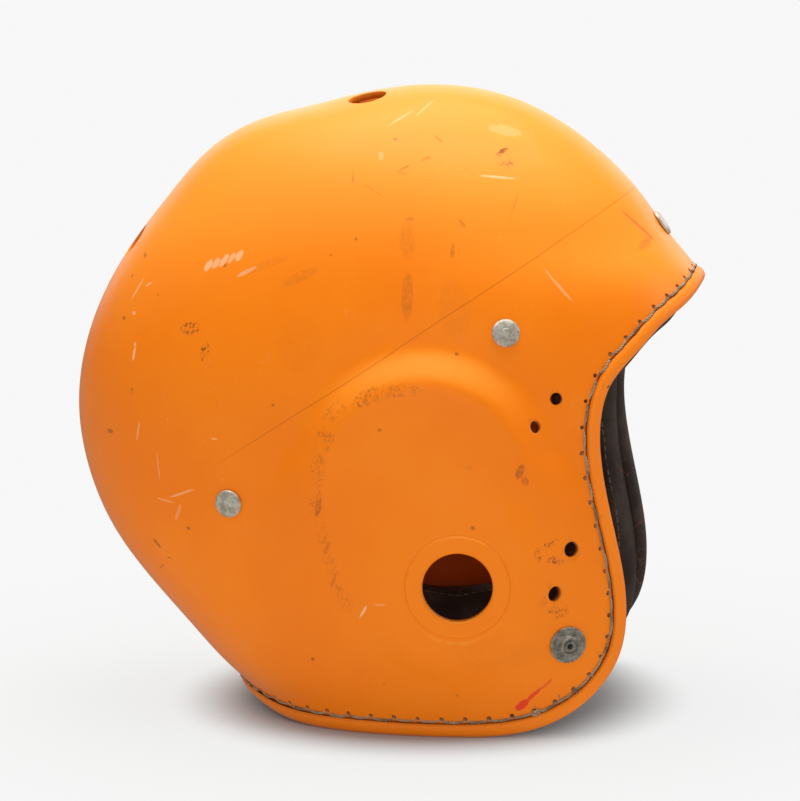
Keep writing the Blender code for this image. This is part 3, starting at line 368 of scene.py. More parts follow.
class HelmetSurface:
    """The shell's outer surface. Level sections are rounded ovals between the outline's two ends."""

    def __init__(self, sizes):
        self.sizes = sizes
        self.length, self.height, self.width = sizes.length, sizes.height, sizes.width
        outline = smooth_curve(np.array(SIDE_OUTLINE_SHARES) * (self.length / 2, self.height), 60)
        crown = int(np.argmax(outline[:, 1]))
        self.top = outline[crown, 1]
        self.front_line, self.rear_line = outline[:crown + 1], outline[crown:][::-1]
        self.centre = np.array([0, 0, GRID_CENTRE_SHARE * self.height])
        self.pole = unit(np.array(GRID_POLE))
        self.ear = self.side_place(EAR_SHARES)
        self.ear_level = self.ear_plane()
        self.edge = self.edge_loop()
        travel = travelled(self.edge)
        self.edge_length = travel[-1]
        self.edge_shares = travel / travel[-1]

    def side_place(self, shares):
        return shares[0] * self.length / 2, shares[1] * self.height

    def section(self, z):
        """Middle, half length, half width and roundness of the level section at each height."""
        z = np.minimum(z, self.top * 0.999999)
        front = np.interp(z, self.front_line[:, 1], self.front_line[:, 0])
        rear = np.interp(z, self.rear_line[:, 1], self.rear_line[:, 0])
        widest = WIDEST_HEIGHT_SHARE * self.height
        rise = np.clip((z - widest) / (self.top - widest), 0, 1)
        fall = np.clip((widest - z) / widest, 0, None)
        narrowing = np.where(z > widest, np.sqrt(1 - rise**2), 1 - SKIRT_NARROWING_SHARE * fall**2)
        low, high = SECTION_POWERS
        power = low + (high - low) * smooth_step(z / self.top)
        return (front + rear) / 2, (front - rear) / 2, self.width / 2 * narrowing, power

    def plain_flank(self, x, z):
        middle, half_length, half_width, power = self.section(z)
        along = np.clip(np.abs(x - middle) / half_length, 0, 1)
        return half_width * (1 - along**power)**(1 / power)

    def ear_dome(self, x, z):
        dome_x, dome_z = self.side_place(EAR_DOME_SHARES)
        angle = np.arctan2(z - dome_z, x - dome_x)
        low = np.clip((0.25 - np.sin(angle)) / 1.25, 0, 1)
        foot = self.sizes.dome_foot + self.sizes.dome_run_out * low
        distance = np.hypot(x - dome_x, z - dome_z)
        return self.sizes.dome_rise * smooth_step((foot - distance) / (foot - self.sizes.dome_top))

    def ear_plane(self):
        """Height and slopes of the flat that the ear ring stands on."""
        x, z = self.ear
        probe = 0.003 * self.length

        def domed(at_x, at_z):
            return self.plain_flank(at_x, at_z) + self.ear_dome(at_x, at_z)

        slope_x = (domed(x + probe, z) - domed(x - probe, z)) / (2 * probe)
        slope_z = (domed(x, z + probe) - domed(x, z - probe)) / (2 * probe)
        return domed(x, z), slope_x, slope_z

    def swelling(self, x, z):
        """What the ear dome and the flat round the ear hole add to the plain flank."""
        ear_x, ear_z = self.ear
        inner = self.sizes.ear_ring / 2 + 0.002
        flat = smooth_step((inner + 0.024 - np.hypot(x - ear_x, z - ear_z)) / 0.024)
        level, slope_x, slope_z = self.ear_level
        plane = level + slope_x * (x - ear_x) + slope_z * (z - ear_z)
        dome = self.ear_dome(x, z)
        return dome + flat * (plane - self.plain_flank(x, z) - dome)

    def flank(self, x, z):
        return self.plain_flank(x, z) + self.swelling(x, z)

    def fullness(self, points):
        """Rises through 1 where a point leaves the surface."""
        x, y, z = points[..., 0], np.abs(points[..., 1]), points[..., 2]
        middle, half_length, half_width, power = self.section(z)
        along = np.abs(x - middle) / half_length
        across = np.maximum(y - self.swelling(x, z), 0) / half_width
        return np.where(z < self.top, along**power + across**power, np.inf)

    def hit(self, directions, start=None):
        """Where rays from a point inside, or from the head's centre, meet the surface."""
        start = self.centre if start is None else start
        near = np.zeros(directions.shape[:-1])
        far = np.full(directions.shape[:-1], self.length)
        for _ in range(32):
            middle = (near + far) / 2
            inside = self.fullness(start + directions * middle[..., None]) < 1
            near = np.where(inside, middle, near)
            far = np.where(inside, far, middle)
        return start + directions * far[..., None]

    def normal(self, points):
        """Outward normals at points on the surface."""
        out = unit(points - self.centre)
        sideways = np.abs(out[..., 1:2]) > math.sqrt(1 / 2)
        first = unit(np.cross(out, np.where(sideways, (1.0, 0.0, 0.0), (0.0, 1.0, 0.0))))
        spans = [self.hit(unit(out + 0.003 * turn)) - self.hit(unit(out - 0.003 * turn))
                 for turn in (first, np.cross(out, first))]
        normal = unit(np.cross(spans[0], spans[1]))
        return normal * np.sign(np.sum(normal * out, axis=-1, keepdims=True))

    def edge_loop(self):
        """The shell's edge as a closed line, from the brow round the right side and back."""
        brow_z = BROW_HEIGHT_SHARE * self.height
        nape_z = NAPE_HEIGHT_SHARE * self.height
        brow = np.interp(brow_z, self.front_line[:, 1], self.front_line[:, 0]), brow_z
        nape = np.interp(nape_z, self.rear_line[:, 1], self.rear_line[:, 0]), nape_z
        places = [brow] + [self.side_place(shares) for shares in EDGE_SHARES] + [nape]
        line = smooth_curve(places, 90)
        right = np.stack([line[:, 0], -self.flank(line[:, 0], line[:, 1]), line[:, 1]], axis=-1)
        left = (right * (1, -1, 1))[::-1]
        return np.concatenate([right, left[1:]])

    def directions(self, along, depth):
        """Directions from the centre. Depth is 1 at the shell's edge and 0 at the grid's pole."""
        edge = unit(interpolate_rows(np.mod(along, 1), self.edge_shares, self.edge) - self.centre)
        sweep = np.arccos(edge @ self.pole)[..., None]
        turn = np.asarray(depth)[..., None]
        return (np.sin((1 - turn) * sweep) * self.pole + np.sin(turn * sweep) * edge) / np.sin(sweep)

    def from_edge(self, along, distances):
        """Surface points at distances inwards from the edge, a row for each line to the pole."""
        depths = np.linspace(1.12, 1 / 3, 60)

        def places(depth):
            return self.hit(self.directions(np.broadcast_to(along[:, None], depth.shape), depth))

        wanted = []
        for line, row in zip(places(np.broadcast_to(depths, (len(along), 60))), distances):
            travel = travelled(line)
            wanted.append(np.interp(row, travel - np.interp(-1, -depths, travel), depths))
        return places(np.array(wanted))

    def seam_places(self, along, inset):
        """Places on the surface at one distance inside the edge, with their outward normals."""
        edge, outward, _ = self.edge_frames(along)
        places = self.hit(unit(edge - outward * inset - self.centre))
        return places, self.normal(places)

    def edge_frames(self, along):
        """Points of the shell's edge, with the directions out of the edge and out of the wall."""
        edge = self.hit(self.directions(along, 1))
        spokes = edge - self.centre
        radius = lengths(spokes)
        inset, step = 0.008, 0.0035
        depth = 1 - inset / (radius * np.arccos(spokes @ self.pole / radius))
        outward = edge - self.hit(self.directions(along, depth))
        run = unit(self.hit(self.directions(along + step, 1)) - self.hit(self.directions(along - step, 1)))
        outward = unit(outward - run * np.sum(outward * run, axis=1, keepdims=True))
        across = np.cross(run, outward)
        across *= np.sign(np.sum(across * spokes, axis=1, keepdims=True))
        return edge, outward, across

    def seat(self, point):
        """A seat on the surface: its point and its outward normal."""
        point = np.array(point, float)
        return point, self.normal(point)

    def side_seat(self, shares, side):
        x, z = self.side_place(shares)
        return self.seat((x, side * self.flank(x, z), z))

    def centre_seat(self, share, line):
        z = share * self.height
        return self.seat((np.interp(z, line[:, 1], line[:, 0]), 0, z))

    def rivet_seats(self):
        places = {"brow": self.centre_seat(BROW_RIVET_SHARE, self.front_line),
                  "rear": self.centre_seat(NAPE_RIVET_SHARE, self.rear_line)}
        for word, side in SIDES.items():
            places[f"front_{word}"] = self.side_seat(FRONT_RIVET_SHARES, side)
            places[f"rear_{word}"] = self.side_seat(REAR_RIVET_SHARES, side)
        return places

    def vent_seats(self):
        places = []
        back_z = BACK_VENT_SHARE * self.height
        for side in (-1, 1):
            start = np.array([CROWN_VENT_SHARE * self.length / 2,
                              side * self.sizes.crown_vent_spacing / 2, self.centre[2]])
            places.append(self.seat(self.hit(np.array([0.0, 0.0, 1.0]), start)))
            start = np.array([0, side * self.sizes.back_vent_spacing / 2, back_z])
            places.append(self.seat(self.hit(np.array([-1.0, 0.0, 0.0]), start)))
        return places


def helmet_surface(context):
    return HelmetSurface(context.scene.helmet_shell)


def settings(context, *names):
    return [getattr(context.scene, f"helmet_{name}") for name in names]


def stitch_holes(surface, welt):
    """The stitch holes round the edge, with their normals."""
    count = round(surface.edge_length / welt.stitch_pitch)
    return surface.seam_places((np.arange(count) + 0.5) / count, welt.stitch_inset)


# Meshes
def mesh_of(name, points, faces):
    mesh = bpy.data.meshes.new(name)
    mesh.from_pydata(np.asarray(points, float).reshape(-1, 3).tolist(), [], faces)
    mesh.validate()
    return mesh


def face_out(mesh):
    """Turns a closed mesh's faces outwards."""
    shape = bmesh.new()
    shape.from_mesh(mesh)
    bmesh.ops.recalc_face_normals(shape, faces=shape.faces)
    shape.to_mesh(mesh)
    shape.free()
    return mesh


def swept_mesh(name, rings, closed):
    """A skin over rings of points, closed into a loop or capped at its two ends."""
    count, sides = rings.shape[:2]
    faces = []
    for i in range(count if closed else count - 1):
        near, far = i * sides, (i + 1) % count * sides
        faces += [(near + j, near + (j + 1) % sides, far + (j + 1) % sides, far + j) for j in range(sides)]
    if not closed:
        faces += [tuple(range(sides)), tuple(range((count - 1) * sides, count * sides))]
    return face_out(mesh_of(name, rings, faces))


def run_of(line, closed):
    """The way that a line runs at each of its points."""
    return unit(np.roll(line, -1, axis=0) - np.roll(line, 1, axis=0) if closed else np.gradient(line, axis=0))


def round_rings(line, radius, sides=8, closed=False):
    """Rings of a round cord along a line."""
    run = run_of(line, closed)
    first = np.cross(run[0], (0.31, 0.42, 0.85))
    firsts = []
    for way in run:
        first = unit(first - way * (first @ way))
        firsts.append(first)
    firsts = np.array(firsts)
    seconds = np.cross(run, firsts)
    turns = np.arange(sides) / sides * math.tau
    radius = np.broadcast_to(radius, len(line))[:, None]
    return np.stack([line + radius * (firsts * math.cos(t) + seconds * math.sin(t)) for t in turns], axis=1)


def knot_loop(at, axes, reaches, girth, count):
    """The closed line of a small overhand knot."""
    turns = np.linspace(0, math.tau, count, endpoint=False)[:, None]
    lobes = girth + np.cos(3 * turns)
    waves = lobes * np.cos(2 * turns), lobes * np.sin(2 * turns), np.sin(3 * turns)
    return at + sum(wave * reach * np.asarray(axis) for wave, reach, axis in zip(waves, reaches, axes))


def round_corners(corners, steps=4):
    """A profile of (radius, height) points, with each corner of (radius, height, rounding) eased."""
    points = [np.array(corner[:2], float) for corner in corners]
    profile = []
    for i, corner in enumerate(corners):
        here = points[i]
        rounding = corner[2] if len(corner) > 2 else 0
        if not rounding or i in (0, len(corners) - 1):
            profile.append(here)
            continue
        back, ahead = points[i - 1] - here, points[i + 1] - here
        reach_back, reach_ahead = (min(rounding, 0.49 * lengths(way)) for way in (back, ahead))
        start, stop = here + unit(back) * reach_back, here + unit(ahead) * reach_ahead
        for step in range(steps + 1):
            share = step / steps
            profile.append((1 - share)**2 * start + 2 * share * (1 - share) * here + share**2 * stop)
    return profile


def turned_mesh(name, profile, sides=48):
    """A piece turned round Z from its profile. A profile off the axis closes on itself."""
    profile = [(float(r), float(z)) for r, z in profile]
    turns = np.arange(sides) / sides * math.tau
    points, rows = [], []
    for radius, height in profile:
        if radius < 1e-7:
            rows.append([len(points)] * sides)
            points.append((0, 0, height))
        else:
            rows.append(list(range(len(points), len(points) + sides)))
            points += [(radius * math.cos(t), radius * math.sin(t), height) for t in turns]
    if profile[0][0] > 1e-7:
        rows.append(rows[0])
    faces = []
    for low, high in zip(rows, rows[1:]):
        for j in range(sides):
            k = (j + 1) % sides
            face = list(dict.fromkeys((low[j], low[k], high[k], high[j])))
            if len(face) > 2:
                faces.append(face)
    return face_out(mesh_of(name, points, faces))


def placed(mesh, seat):
    """Stands a turned piece on the surface, with its own Z along the normal."""
    point, normal = seat
    turn = Vector(normal).to_track_quat("Z", "Y").to_matrix().to_4x4()
    mesh.transform(Matrix.Translation(Vector(point)) @ turn)
    return mesh


def joined(name, meshes):
    """Several meshes in one, each still a body of its own."""
    shape = bmesh.new()
    for mesh in meshes:
        shape.from_mesh(mesh)
        bpy.data.meshes.remove(mesh)
    mesh = bpy.data.meshes.new(name)
    shape.to_mesh(mesh)
    shape.free()
    return mesh


def scratch_object(mesh):
    """An object that only lends its shape, and isn't kept."""
    holder = bpy.data.objects.new(mesh.name, mesh)
    bpy.context.scene.collection.objects.link(holder)
    return holder


def evaluated_mesh(holder, name):
    """A plain mesh of an object as its modifiers leave it. The object itself is removed."""
    bpy.context.view_layer.update()
    graph = bpy.context.evaluated_depsgraph_get()
    mesh = bpy.data.meshes.new_from_object(holder.evaluated_get(graph), preserve_all_data_layers=True,
                                           depsgraph=graph)
    mesh.name = name
    old = holder.data
    bpy.data.objects.remove(holder, do_unlink=True)
    if old.users == 0:
        bpy.data.batch_remove([old])
    return mesh


def drilled(mesh, drills, name):
    """A mesh with the drills' shapes cut out of it."""
    body, tool = scratch_object(mesh), scratch_object(drills)
    cut = body.modifiers.new("holes", "BOOLEAN")
    cut.operation, cut.object, cut.solver = "DIFFERENCE", tool, "MANIFOLD"
    result = evaluated_mesh(body, name)
    bpy.data.objects.remove(tool, do_unlink=True)
    return result


def add_piece(context, name, mesh, material, slot, *nodes, sharp=35):
    """Shows a finished mesh as a piece of the helmet that stands for these nodes."""
    mesh.transform(Matrix.Translation((0, 0, context.scene.helmet_shell.stand)))
    mesh.name = name
    mesh.materials.clear()
    mesh.materials.append(material)
    mesh.shade_smooth()
    mesh.set_sharp_from_angle(angle=math.radians(sharp))
    piece = bpy.data.objects.new(name, mesh)
    context.scene.collection.objects.link(piece)
    if nodes:
        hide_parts(*nodes)
    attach(piece, "root")
    return piece


def add_turned(context, node, profile, seat, material, slot, sides=48):
    """Stands a turned piece on its seat, where it stands for its node."""
    add_piece(context, f"{node}_finish", placed(turned_mesh(node, profile, sides), seat), material, slot, node)


def add_attribute(mesh, name, values):
    """Stores a number, or a vector, for each point."""
    values = np.asarray(values, np.float32)
    kind, field = ("FLOAT", "value") if values.ndim == 1 else ("FLOAT_VECTOR", "vector")
    mesh.attributes.new(name, kind, "POINT").data.foreach_set(field, values.ravel())


def mesh_points(mesh):
    points = np.empty(len(mesh.vertices) * 3)
    mesh.vertices.foreach_get("co", points)
    return points.reshape(-1, 3)


def distance_to_line(points, line):
    tree = KDTree(len(line))
    for i, place in enumerate(line):
        tree.insert(place, i)
    tree.balance()
    return np.array([tree.find(point)[2] for point in points])


# Node trees
class Value:
    """An output of a node. Sums with it add the nodes that work them out."""

    def __init__(self, socket):
        self.socket, self.tree = socket, socket.id_data

    def __getitem__(self, name):
        """Another output of the same node."""
        return Value(self.socket.node.outputs[name])

    def maths(self, operation, *others, clamp=False):
        return add_node(self.tree, "ShaderNodeMath", enumerate((self, *others)), operation=operation, use_clamp=clamp)

    def vectors(self, operation, *others, **named):
        """Vector maths that starts from this value."""
        return add_node(self.tree, "ShaderNodeVectorMath", dict(enumerate((self, *others))) | named,
                        operation=operation)

    def larger(self, other):
        return self.maths("MAXIMUM", other)

    def __add__(self, other):
        return self.maths("ADD", other)

    def __sub__(self, other):
        return self.maths("SUBTRACT", other)

    def __mul__(self, other):
        return self.maths("MULTIPLY", other)

    def __pow__(self, other):
        return self.maths("POWER", other)

    def __abs__(self):
        return self.maths("ABSOLUTE")


def feed(socket, value):
    """Links a value to a socket, or sets the socket to a plain number, vector or colour."""
    if isinstance(value, Value):
        value.tree.links.new(value.socket, socket)
    elif socket.type == "RGBA" and len(value) == 3:
        socket.default_value = (*value, 1)
    else:
        socket.default_value = value


def add_node(tree, kind, inputs=(), **settings):
    """Adds a node with its settings, plain values and links, and returns its first output."""
    node = tree.nodes.new(kind)
    for key, value in settings.items():
        setattr(node, key, value)
    for key, value in dict(inputs).items():
        feed(node.inputs[key], value)
    return Value(node.outputs[0])


def ramp(value, low, high, out_low=0.0, out_high=1.0):
    """Maps a value smoothly from one range to another."""
    return add_node(value.tree, "ShaderNodeMapRange", {
        "Value": value, "From Min": low, "From Max": high, "To Min": out_low, "To Max": out_high},
        interpolation_type="SMOOTHSTEP")


def mixed(share, first, second):
    """Mixes two colours."""
    return add_node(share.tree, "ShaderNodeMix", {0: share, 6: first, 7: second}, data_type="RGBA")[2]


def painted(base, *coats):
    """Lays coats of colour over a base, each as far as its own mask lets it show."""
    for share, colour in coats:
        base = mixed(share, base, colour)
    return base


def shaded(colour, *shares):
    """A colour with its red, green and blue scaled by their shares, or all by the one share."""
    return tuple(min(1, c * share) for c, share in zip(colour, shares * (3 // len(shares))))


def noise(place, scale, detail=3.0, roughness=0.55):
    return add_node(place.tree, "ShaderNodeTexNoise", {
        "Vector": place, "Scale": scale, "Detail": detail, "Roughness": roughness})


def voronoi(place, scale, feature):
    return add_node(place.tree, "ShaderNodeTexVoronoi", {"Vector": place, "Scale": scale}, feature=feature)


def stretched(place, scale, turn=(0, 0, 0)):
    """Coordinates turned and stretched, so that a pattern runs one way."""
    turned = add_node(place.tree, "ShaderNodeMapping", {"Vector": place, "Rotation": turn})
    return add_node(place.tree, "ShaderNodeMapping", {"Vector": turned, "Scale": scale})


def split(vector):
    return add_node(vector.tree, "ShaderNodeSeparateXYZ", {0: vector})


def bump(height, strength, distance, **inputs):
    return add_node(height.tree, "ShaderNodeBump", {
        "Height": height, "Strength": strength, "Distance": distance, **inputs})


def attribute_of(place, name, output="Fac"):
    return add_node(place.tree, "ShaderNodeAttribute", attribute_name=name)[output]


def node_group(name, kind, inputs, outputs):
    """An empty node group with named inputs and outputs, and its two end nodes."""
    tree = bpy.data.node_groups.new(name, kind)
    for way, sockets in (("INPUT", inputs), ("OUTPUT", outputs)):
        for title, data, default in sockets:
            socket = tree.interface.new_socket(title, in_out=way, socket_type=f"NodeSocket{data}")
            if default is not None:
                socket.default_value = default
    return tree, Value(tree.nodes.new("NodeGroupInput").outputs[0]), tree.nodes.new("NodeGroupOutput").inputs


def built_once(name):
    """Names a node group, which is built when it is first asked for and found again after that."""
    def named(build):
        return lambda: bpy.data.node_groups.get(name) or build(name)
    return named


@built_once("Helmet Mark")
def mark_group(name):
    """One stain, scuff or scratch: a ragged patch round a place on the helmet."""
    tree, source, result = node_group(name, "ShaderNodeTree",
        (("Place", "Vector", None), ("Rag", "Float", 0.5), ("Centre", "Vector", (0, 0, 0)),
         ("Reach", "Vector", (0.01, 0.02, 0.01)), ("Lean", "Float", 0.0), ("Strength", "Float", 1.0)),
        (("Mask", "Float", None),))
    offset = source["Place"].vectors("SUBTRACT", source["Centre"])
    turned = add_node(tree, "ShaderNodeVectorRotate", {"Vector": offset, "Angle": source["Lean"]},
                      rotation_type="Y_AXIS")
    far = turned.vectors("DIVIDE", source["Reach"]).vectors("LENGTH")["Value"]
    feed(result["Mask"], ramp(far + (source["Rag"] - 0.5), 1.0, 0.75) * source["Strength"])
    return tree


@built_once("Helmet Wear")
def wear_group(name):
    """Handling wear all over a surface: fine scratches and dark specks."""
    tree, source, result = node_group(name, "ShaderNodeTree", (("Place", "Vector", None),),
                                      (("Scratch", "Float", None), ("Speck", "Float", None)))
    place = source["Place"]
    waved = place.vectors("ADD", noise(place, 18.0)["Color"])
    lines = [ramp(noise(stretched(waved, scale, turn), 1.0, 1.0, 0.4), 0.735, 0.765)
             for turn, scale in (((0.3, 0.5, 0.1), (26, 900, 26)), ((1.2, -0.4, 0.9), (900, 30, 22)),
                                 ((0.1, 1.1, -0.5), (30, 24, 1000)))]
    lines = (lines[0] + lines[1]).maths("ADD", lines[2], clamp=True)
    feed(result["Scratch"], lines * ramp(noise(place, 22.0, 2.0), 0.52, 0.62))
    cells = voronoi(place, 120.0, "F1")
    chosen = ramp(add_node(tree, "ShaderNodeSeparateColor", {0: cells["Color"]}), 0.955, 0.965)
    feed(result["Speck"], ramp(cells, 0.16, 0.06) * chosen)
    return tree


def wear_of(place):
    return add_node(place.tree, "ShaderNodeGroup", {"Place": place}, node_tree=wear_group())


def new_material(name):
    """A material, the inputs of its shader and the place on the object that it reads."""
    material = bpy.data.materials.new(name)
    material.use_nodes = True
    tree = material.node_tree
    return material, tree.nodes["Principled BSDF"], add_node(tree, "ShaderNodeTexCoord")["Object"]


def set_inputs(shader, **values):
    for key, value in values.items():
        feed(shader.inputs[key.replace("_", " ")], value)


# Marks on the shell's right side: x, z, half length, half height (mm), lean (degrees), strength
SPECK_MARKS = (
    (-82.7, 184.4, 5.6, 3.4, 15, 1.0), (-74.8, 174.7, 2.6, 4.6, -10, 1.0),
    (57.6, 263.2, 4.6, 2.3, 20, 1.0), (58.9, 258.6, 4.4, 2.4, 0, 0.75),
    (-13, 148.5, 5, 9, -35, 0.55), (-17, 138, 4.5, 9, -15, 0.5), (-20, 124.6, 4, 9, 0, 0.4),
    (-21, 110.8, 3.5, 9, 0, 0.45), (-19, 97, 3.5, 8, 10, 0.4), (-15, 81, 3.5, 8, 15, 0.4),
    (4.7, 158.6, 10, 4.5, 20, 0.6), (19, 161, 10, 3.5, 3, 0.4), (-9, 66, 4, 9, 20, 0.3),
    (83.3, 90.8, 4.8, 1.8, 25, 0.85), (78.6, 86.5, 1.8, 4.2, 0, 0.7), (86.8, 83.4, 5, 2.2, -10, 0.9),
    (86.3, 60.2, 5.2, 2.0, 10, 0.8), (80.2, 64.5, 2.2, 3.8, 0, 0.6), (89, 58.0, 4, 1.8, 30, 0.6))
SMUDGE_MARKS = (
    (57.0, 264.0, 2.6, 1.2, 25, 1.0), (-100.8, 82.8, 3.2, 0.8, -45, 0.9), (-94.3, 76.2, 1.8, 0.5, -10, 0.8),
    (-99.5, 71, 2.0, 0.6, 45, 0.7), (-5.8, 226.4, 0.9, 0.8, 0, 0.8), (-118.5, 185.4, 1.3, 1.1, 0, 0.7),
    (-124.1, 133.4, 2.0, 1.2, 0, 0.9), (-110.6, 213.6, 1.2, 1.6, 0, 0.6), (-111.8, 154, 1.2, 1.8, 0, 0.4),
    (17.4, 226, 4, 9, 5, 0.22), (18.6, 202, 3, 12, 0, 0.36), (-30.8, 209.3, 10, 2.6, 25, 0.22),
    (38, 221.5, 1.1, 3.6, 0, 0.6), (41.5, 233.5, 2.6, 0.9, -50, 0.55), (18.2, 235.3, 2.4, 1.0, 0, 0.4),
    (121.6, 221.2, 4, 2.0, 40, 0.5), (70.5, 124.6, 2.0, 4.0, -20, 0.75), (72.8, 120.2, 1.8, 2.6, 30, 0.55),
    (48.1, 126.9, 1.6, 1.6, 0, 0.35), (-20, 107, 1.6, 4.5, -12, 0.55), (-16.1, 88.8, 1.0, 3.8, -25, 0.5),
    (-13.7, 72.9, 0.9, 3.6, -20, 0.45), (-47, 214, 14, 2.0, 22, 0.14), (40, 196, 8, 16, 10, 0.10),
    (13.6, 257.1, 3.4, 0.5, 25, 0.8), (13.2, 254.9, 2.4, 0.5, -20, 0.6), (23.1, 261.2, 2.6, 0.8, 22, 0.6),
    (27.6, 269.6, 3.2, 0.5, -35, 0.7), (-9.4, 253, 0.6, 3.6, 0, 0.55), (0.6, 247.4, 7, 0.4, -28, 0.45),
    (64.3, 241, 0.5, 7, -14, 0.4), (-30, 180, 12, 14, 0, 0.06), (60, 40, 24, 9, 0, 0.07))
SCRATCH_MARKS = (
    (55.5, 253, 9.5, 0.6, -6, 0.8), (9.3, 278.3, 7, 0.5, 32, 0.6), (19.9, 282.9, 6, 0.5, 45, 0.5),
    (2.5, 262.2, 1.4, 2.2, 0, 0.4), (57, 272.6, 9, 2.4, -12, 0.3), (-75.5, 212.2, 1.6, 3.4, -35, 0.8),
    (-71.6, 213.6, 1.5, 3.2, -35, 0.7), (-67.8, 215.0, 1.4, 3.4, -35, 0.8), (-64.0, 216.2, 1.2, 3.0, -35, 0.7),
    (-60.4, 217.4, 1.6, 3.2, -35, 0.75), (-56.6, 210.5, 6, 1.0, 28, 0.6), (-112.9, 188.3, 1.0, 0.9, 0, 0.7),
    (-111.4, 170.3, 0.7, 3.6, -8, 0.9), (-111, 174.6, 0.8, 1.4, 0, 0.7), (-108.4, 135.6, 0.5, 5, -10, 0.55),
    (-69.9, 135.3, 1.7, 0.4, 0, 0.7), (-86.5, 108.6, 7.5, 0.6, 22, 0.55), (-95, 104.5, 5, 0.5, -8, 0.45),
    (-88.5, 99.4, 1.0, 5, -20, 0.3), (-106, 201.7, 2.4, 0.5, 30, 0.6), (-112.2, 199, 0.5, 7, -30, 0.5),
    (-0.1, 59.4, 0.7, 3.6, -30, 0.85), (8, 63.4, 3, 0.4, 0, 0.4), (84, 207, 10, 0.5, -50, 0.45),
    (88, 203, 7, 0.4, -50, 0.4), (-98, 120, 0.4, 8, 6, 0.35), (30, 70, 0.5, 4, 20, 0.25))
WAX_MARKS = (
    (70.8, 15.4, 4.2, 1.9, 38, 1.0), (76.0, 20.0, 6.0, 1.1, 42, 0.9), (82.0, 25.0, 4.0, 0.6, 44, 0.7),
    (118, 229, 12, 0.5, -44, 0.55))
# The same, on the left side
LEFT_SPECK_MARKS = ((-40, 215, 5, 3.4, -20, 0.9), (70, 230, 3, 4, 30, 0.8), (-18, 130, 4, 14, 5, 0.4))
LEFT_SMUDGE_MARKS = ((20, 205, 4, 10, -8, 0.35), (-80, 160, 2, 6, 30, 0.4), (55, 60, 5, 2, 20, 0.5))
LEFT_SCRATCH_MARKS = ((-60, 190, 9, 0.6, -30, 0.7), (50, 250, 7, 0.5, 25, 0.6), (-95, 120, 0.6, 7, 10, 0.6),
                      (10, 60, 8, 0.5, 15, 0.5))


# The parting line's low and high end, as shares of half the length and of the height
PARTING_LINE_SHARES = ((-0.41, 0.441), (0.74, 0.829))


def marks(surface, place, rag, rows, side=-1):
    """One mask for a table of marks on one side of the shell."""
    total = None
    for x, z, reach, rise, lean, strength in rows:
        x, z = x / 1000, z / 1000
        mask = add_node(place.tree, "ShaderNodeGroup", {
            "Place": place, "Rag": rag, "Centre": (x, side * float(surface.flank(x, z)), z),
            "Reach": (reach / 1000, 0.03, rise / 1000), "Lean": math.radians(lean), "Strength": strength},
            node_tree=mark_group())
        total = mask if total is None else total.larger(mask)
    return total


def seam_line(surface, place):
    """The mould's parting line, which climbs from the nape over the ears to the brow."""
    (low_x, low_z), (high_x, high_z) = (surface.side_place(shares) for shares in PARTING_LINE_SHARES)
    slope = (high_z - low_z) / (high_x - low_x)
    axes = split(place)
    off = axes["Z"] - (axes["X"] * slope + (low_z - slope * low_x))
    line = ramp(abs(off + (noise(place, 25.0) - 0.5) * 0.0015), 0.00055, 0.0001)
    return line * ramp(axes["X"], low_x - 0.02, low_x + 0.02)


def shell_material(surface, colour):
    """Moulded plastic: bleached and given a painted highlight where it faces up, scuffed and specked, with painted
    shade in its holes, inside and along its edge.
    """
    material, shader, place = new_material("orange_shell_plastic")
    wear = wear_of(place)
    rag = noise(place, 420.0, 3.0, 0.7)

    def marked(right, left):
        return marks(surface, place, rag, right).larger(marks(surface, place, rag, left, 1))

    broad = noise(place, 11.0, 4.0, 0.6)
    seam = seam_line(surface, place)
    pale = marked(SCRATCH_MARKS, LEFT_SCRATCH_MARKS).larger(wear["Scratch"] * 0.4)
    smudge = marked(SMUDGE_MARKS, LEFT_SMUDGE_MARKS)
    specks = ramp(noise(place, 760.0, 4.0, 0.75), 0.47, 0.60) * ramp(noise(place, 170.0, 3.0, 0.6), 0.34, 0.56)
    speck = (marked(SPECK_MARKS, LEFT_SPECK_MARKS) * specks).larger(wear["Speck"] * 0.6)
    shaded_edge_distance = attribute_of(place, "edge_distance") + (rag - 0.5) * 0.002
    base = painted(mixed(ramp(broad, 0.35, 0.65), shaded(colour, 0.97, 0.90, 0.6), colour),
        # Paler where the shell faces up: partly sun fading, partly a painted highlight from overhead
        (attribute_of(place, "fade_and_highlight") * 0.55, (0.96, 0.33, 0.03)),
        # Painted shade: the inside of the shell darker and redder
        (attribute_of(place, "shaded_inner_wall") * 0.85, (0.50, 0.045, 0.002)),
        (ramp(noise(place, 45.0, 6.0, 0.7), 0.5, 0.8) * 0.03, (0.80, 0.32, 0.06)),
        (seam * 0.40, (0.40, 0.07, 0.0)),
        (pale * 0.62, (0.93, 0.62, 0.36)),
        (smudge * ramp(rag, 0.30, 0.62, 0.15, 0.75), (0.16, 0.04, 0.012)),
        (speck * 0.85, (0.10, 0.035, 0.02)),
        (marks(surface, place, rag, WAX_MARKS) * 0.85, (0.75, 0.02, 0.012)),
        # Painted shade along the edge, in the groove where the welt's bead meets the shell
        (ramp(shaded_edge_distance, 0.0043, 0.0030) * 0.85, (0.10, 0.018, 0.006)),
        # Painted shade inside the drilled holes, darker deeper in
        (attribute_of(place, "hole_shade"), (0.035, 0.014, 0.008)))
    rough = ramp(noise(place, 60.0, 5.0, 0.65), 0.3, 0.75, 0.29, 0.38) + (pale + smudge) * 0.2
    relief = noise(place, 700.0, 2.0) * 0.3 - (pale + seam * 0.8)
    set_inputs(shader, Base_Color=base, Roughness=rough, IOR=1.45, Specular_IOR_Level=0.30,
               Normal=bump(relief, 0.12, 0.0003, Normal=bump(broad, 0.10, 0.002)))
    return material


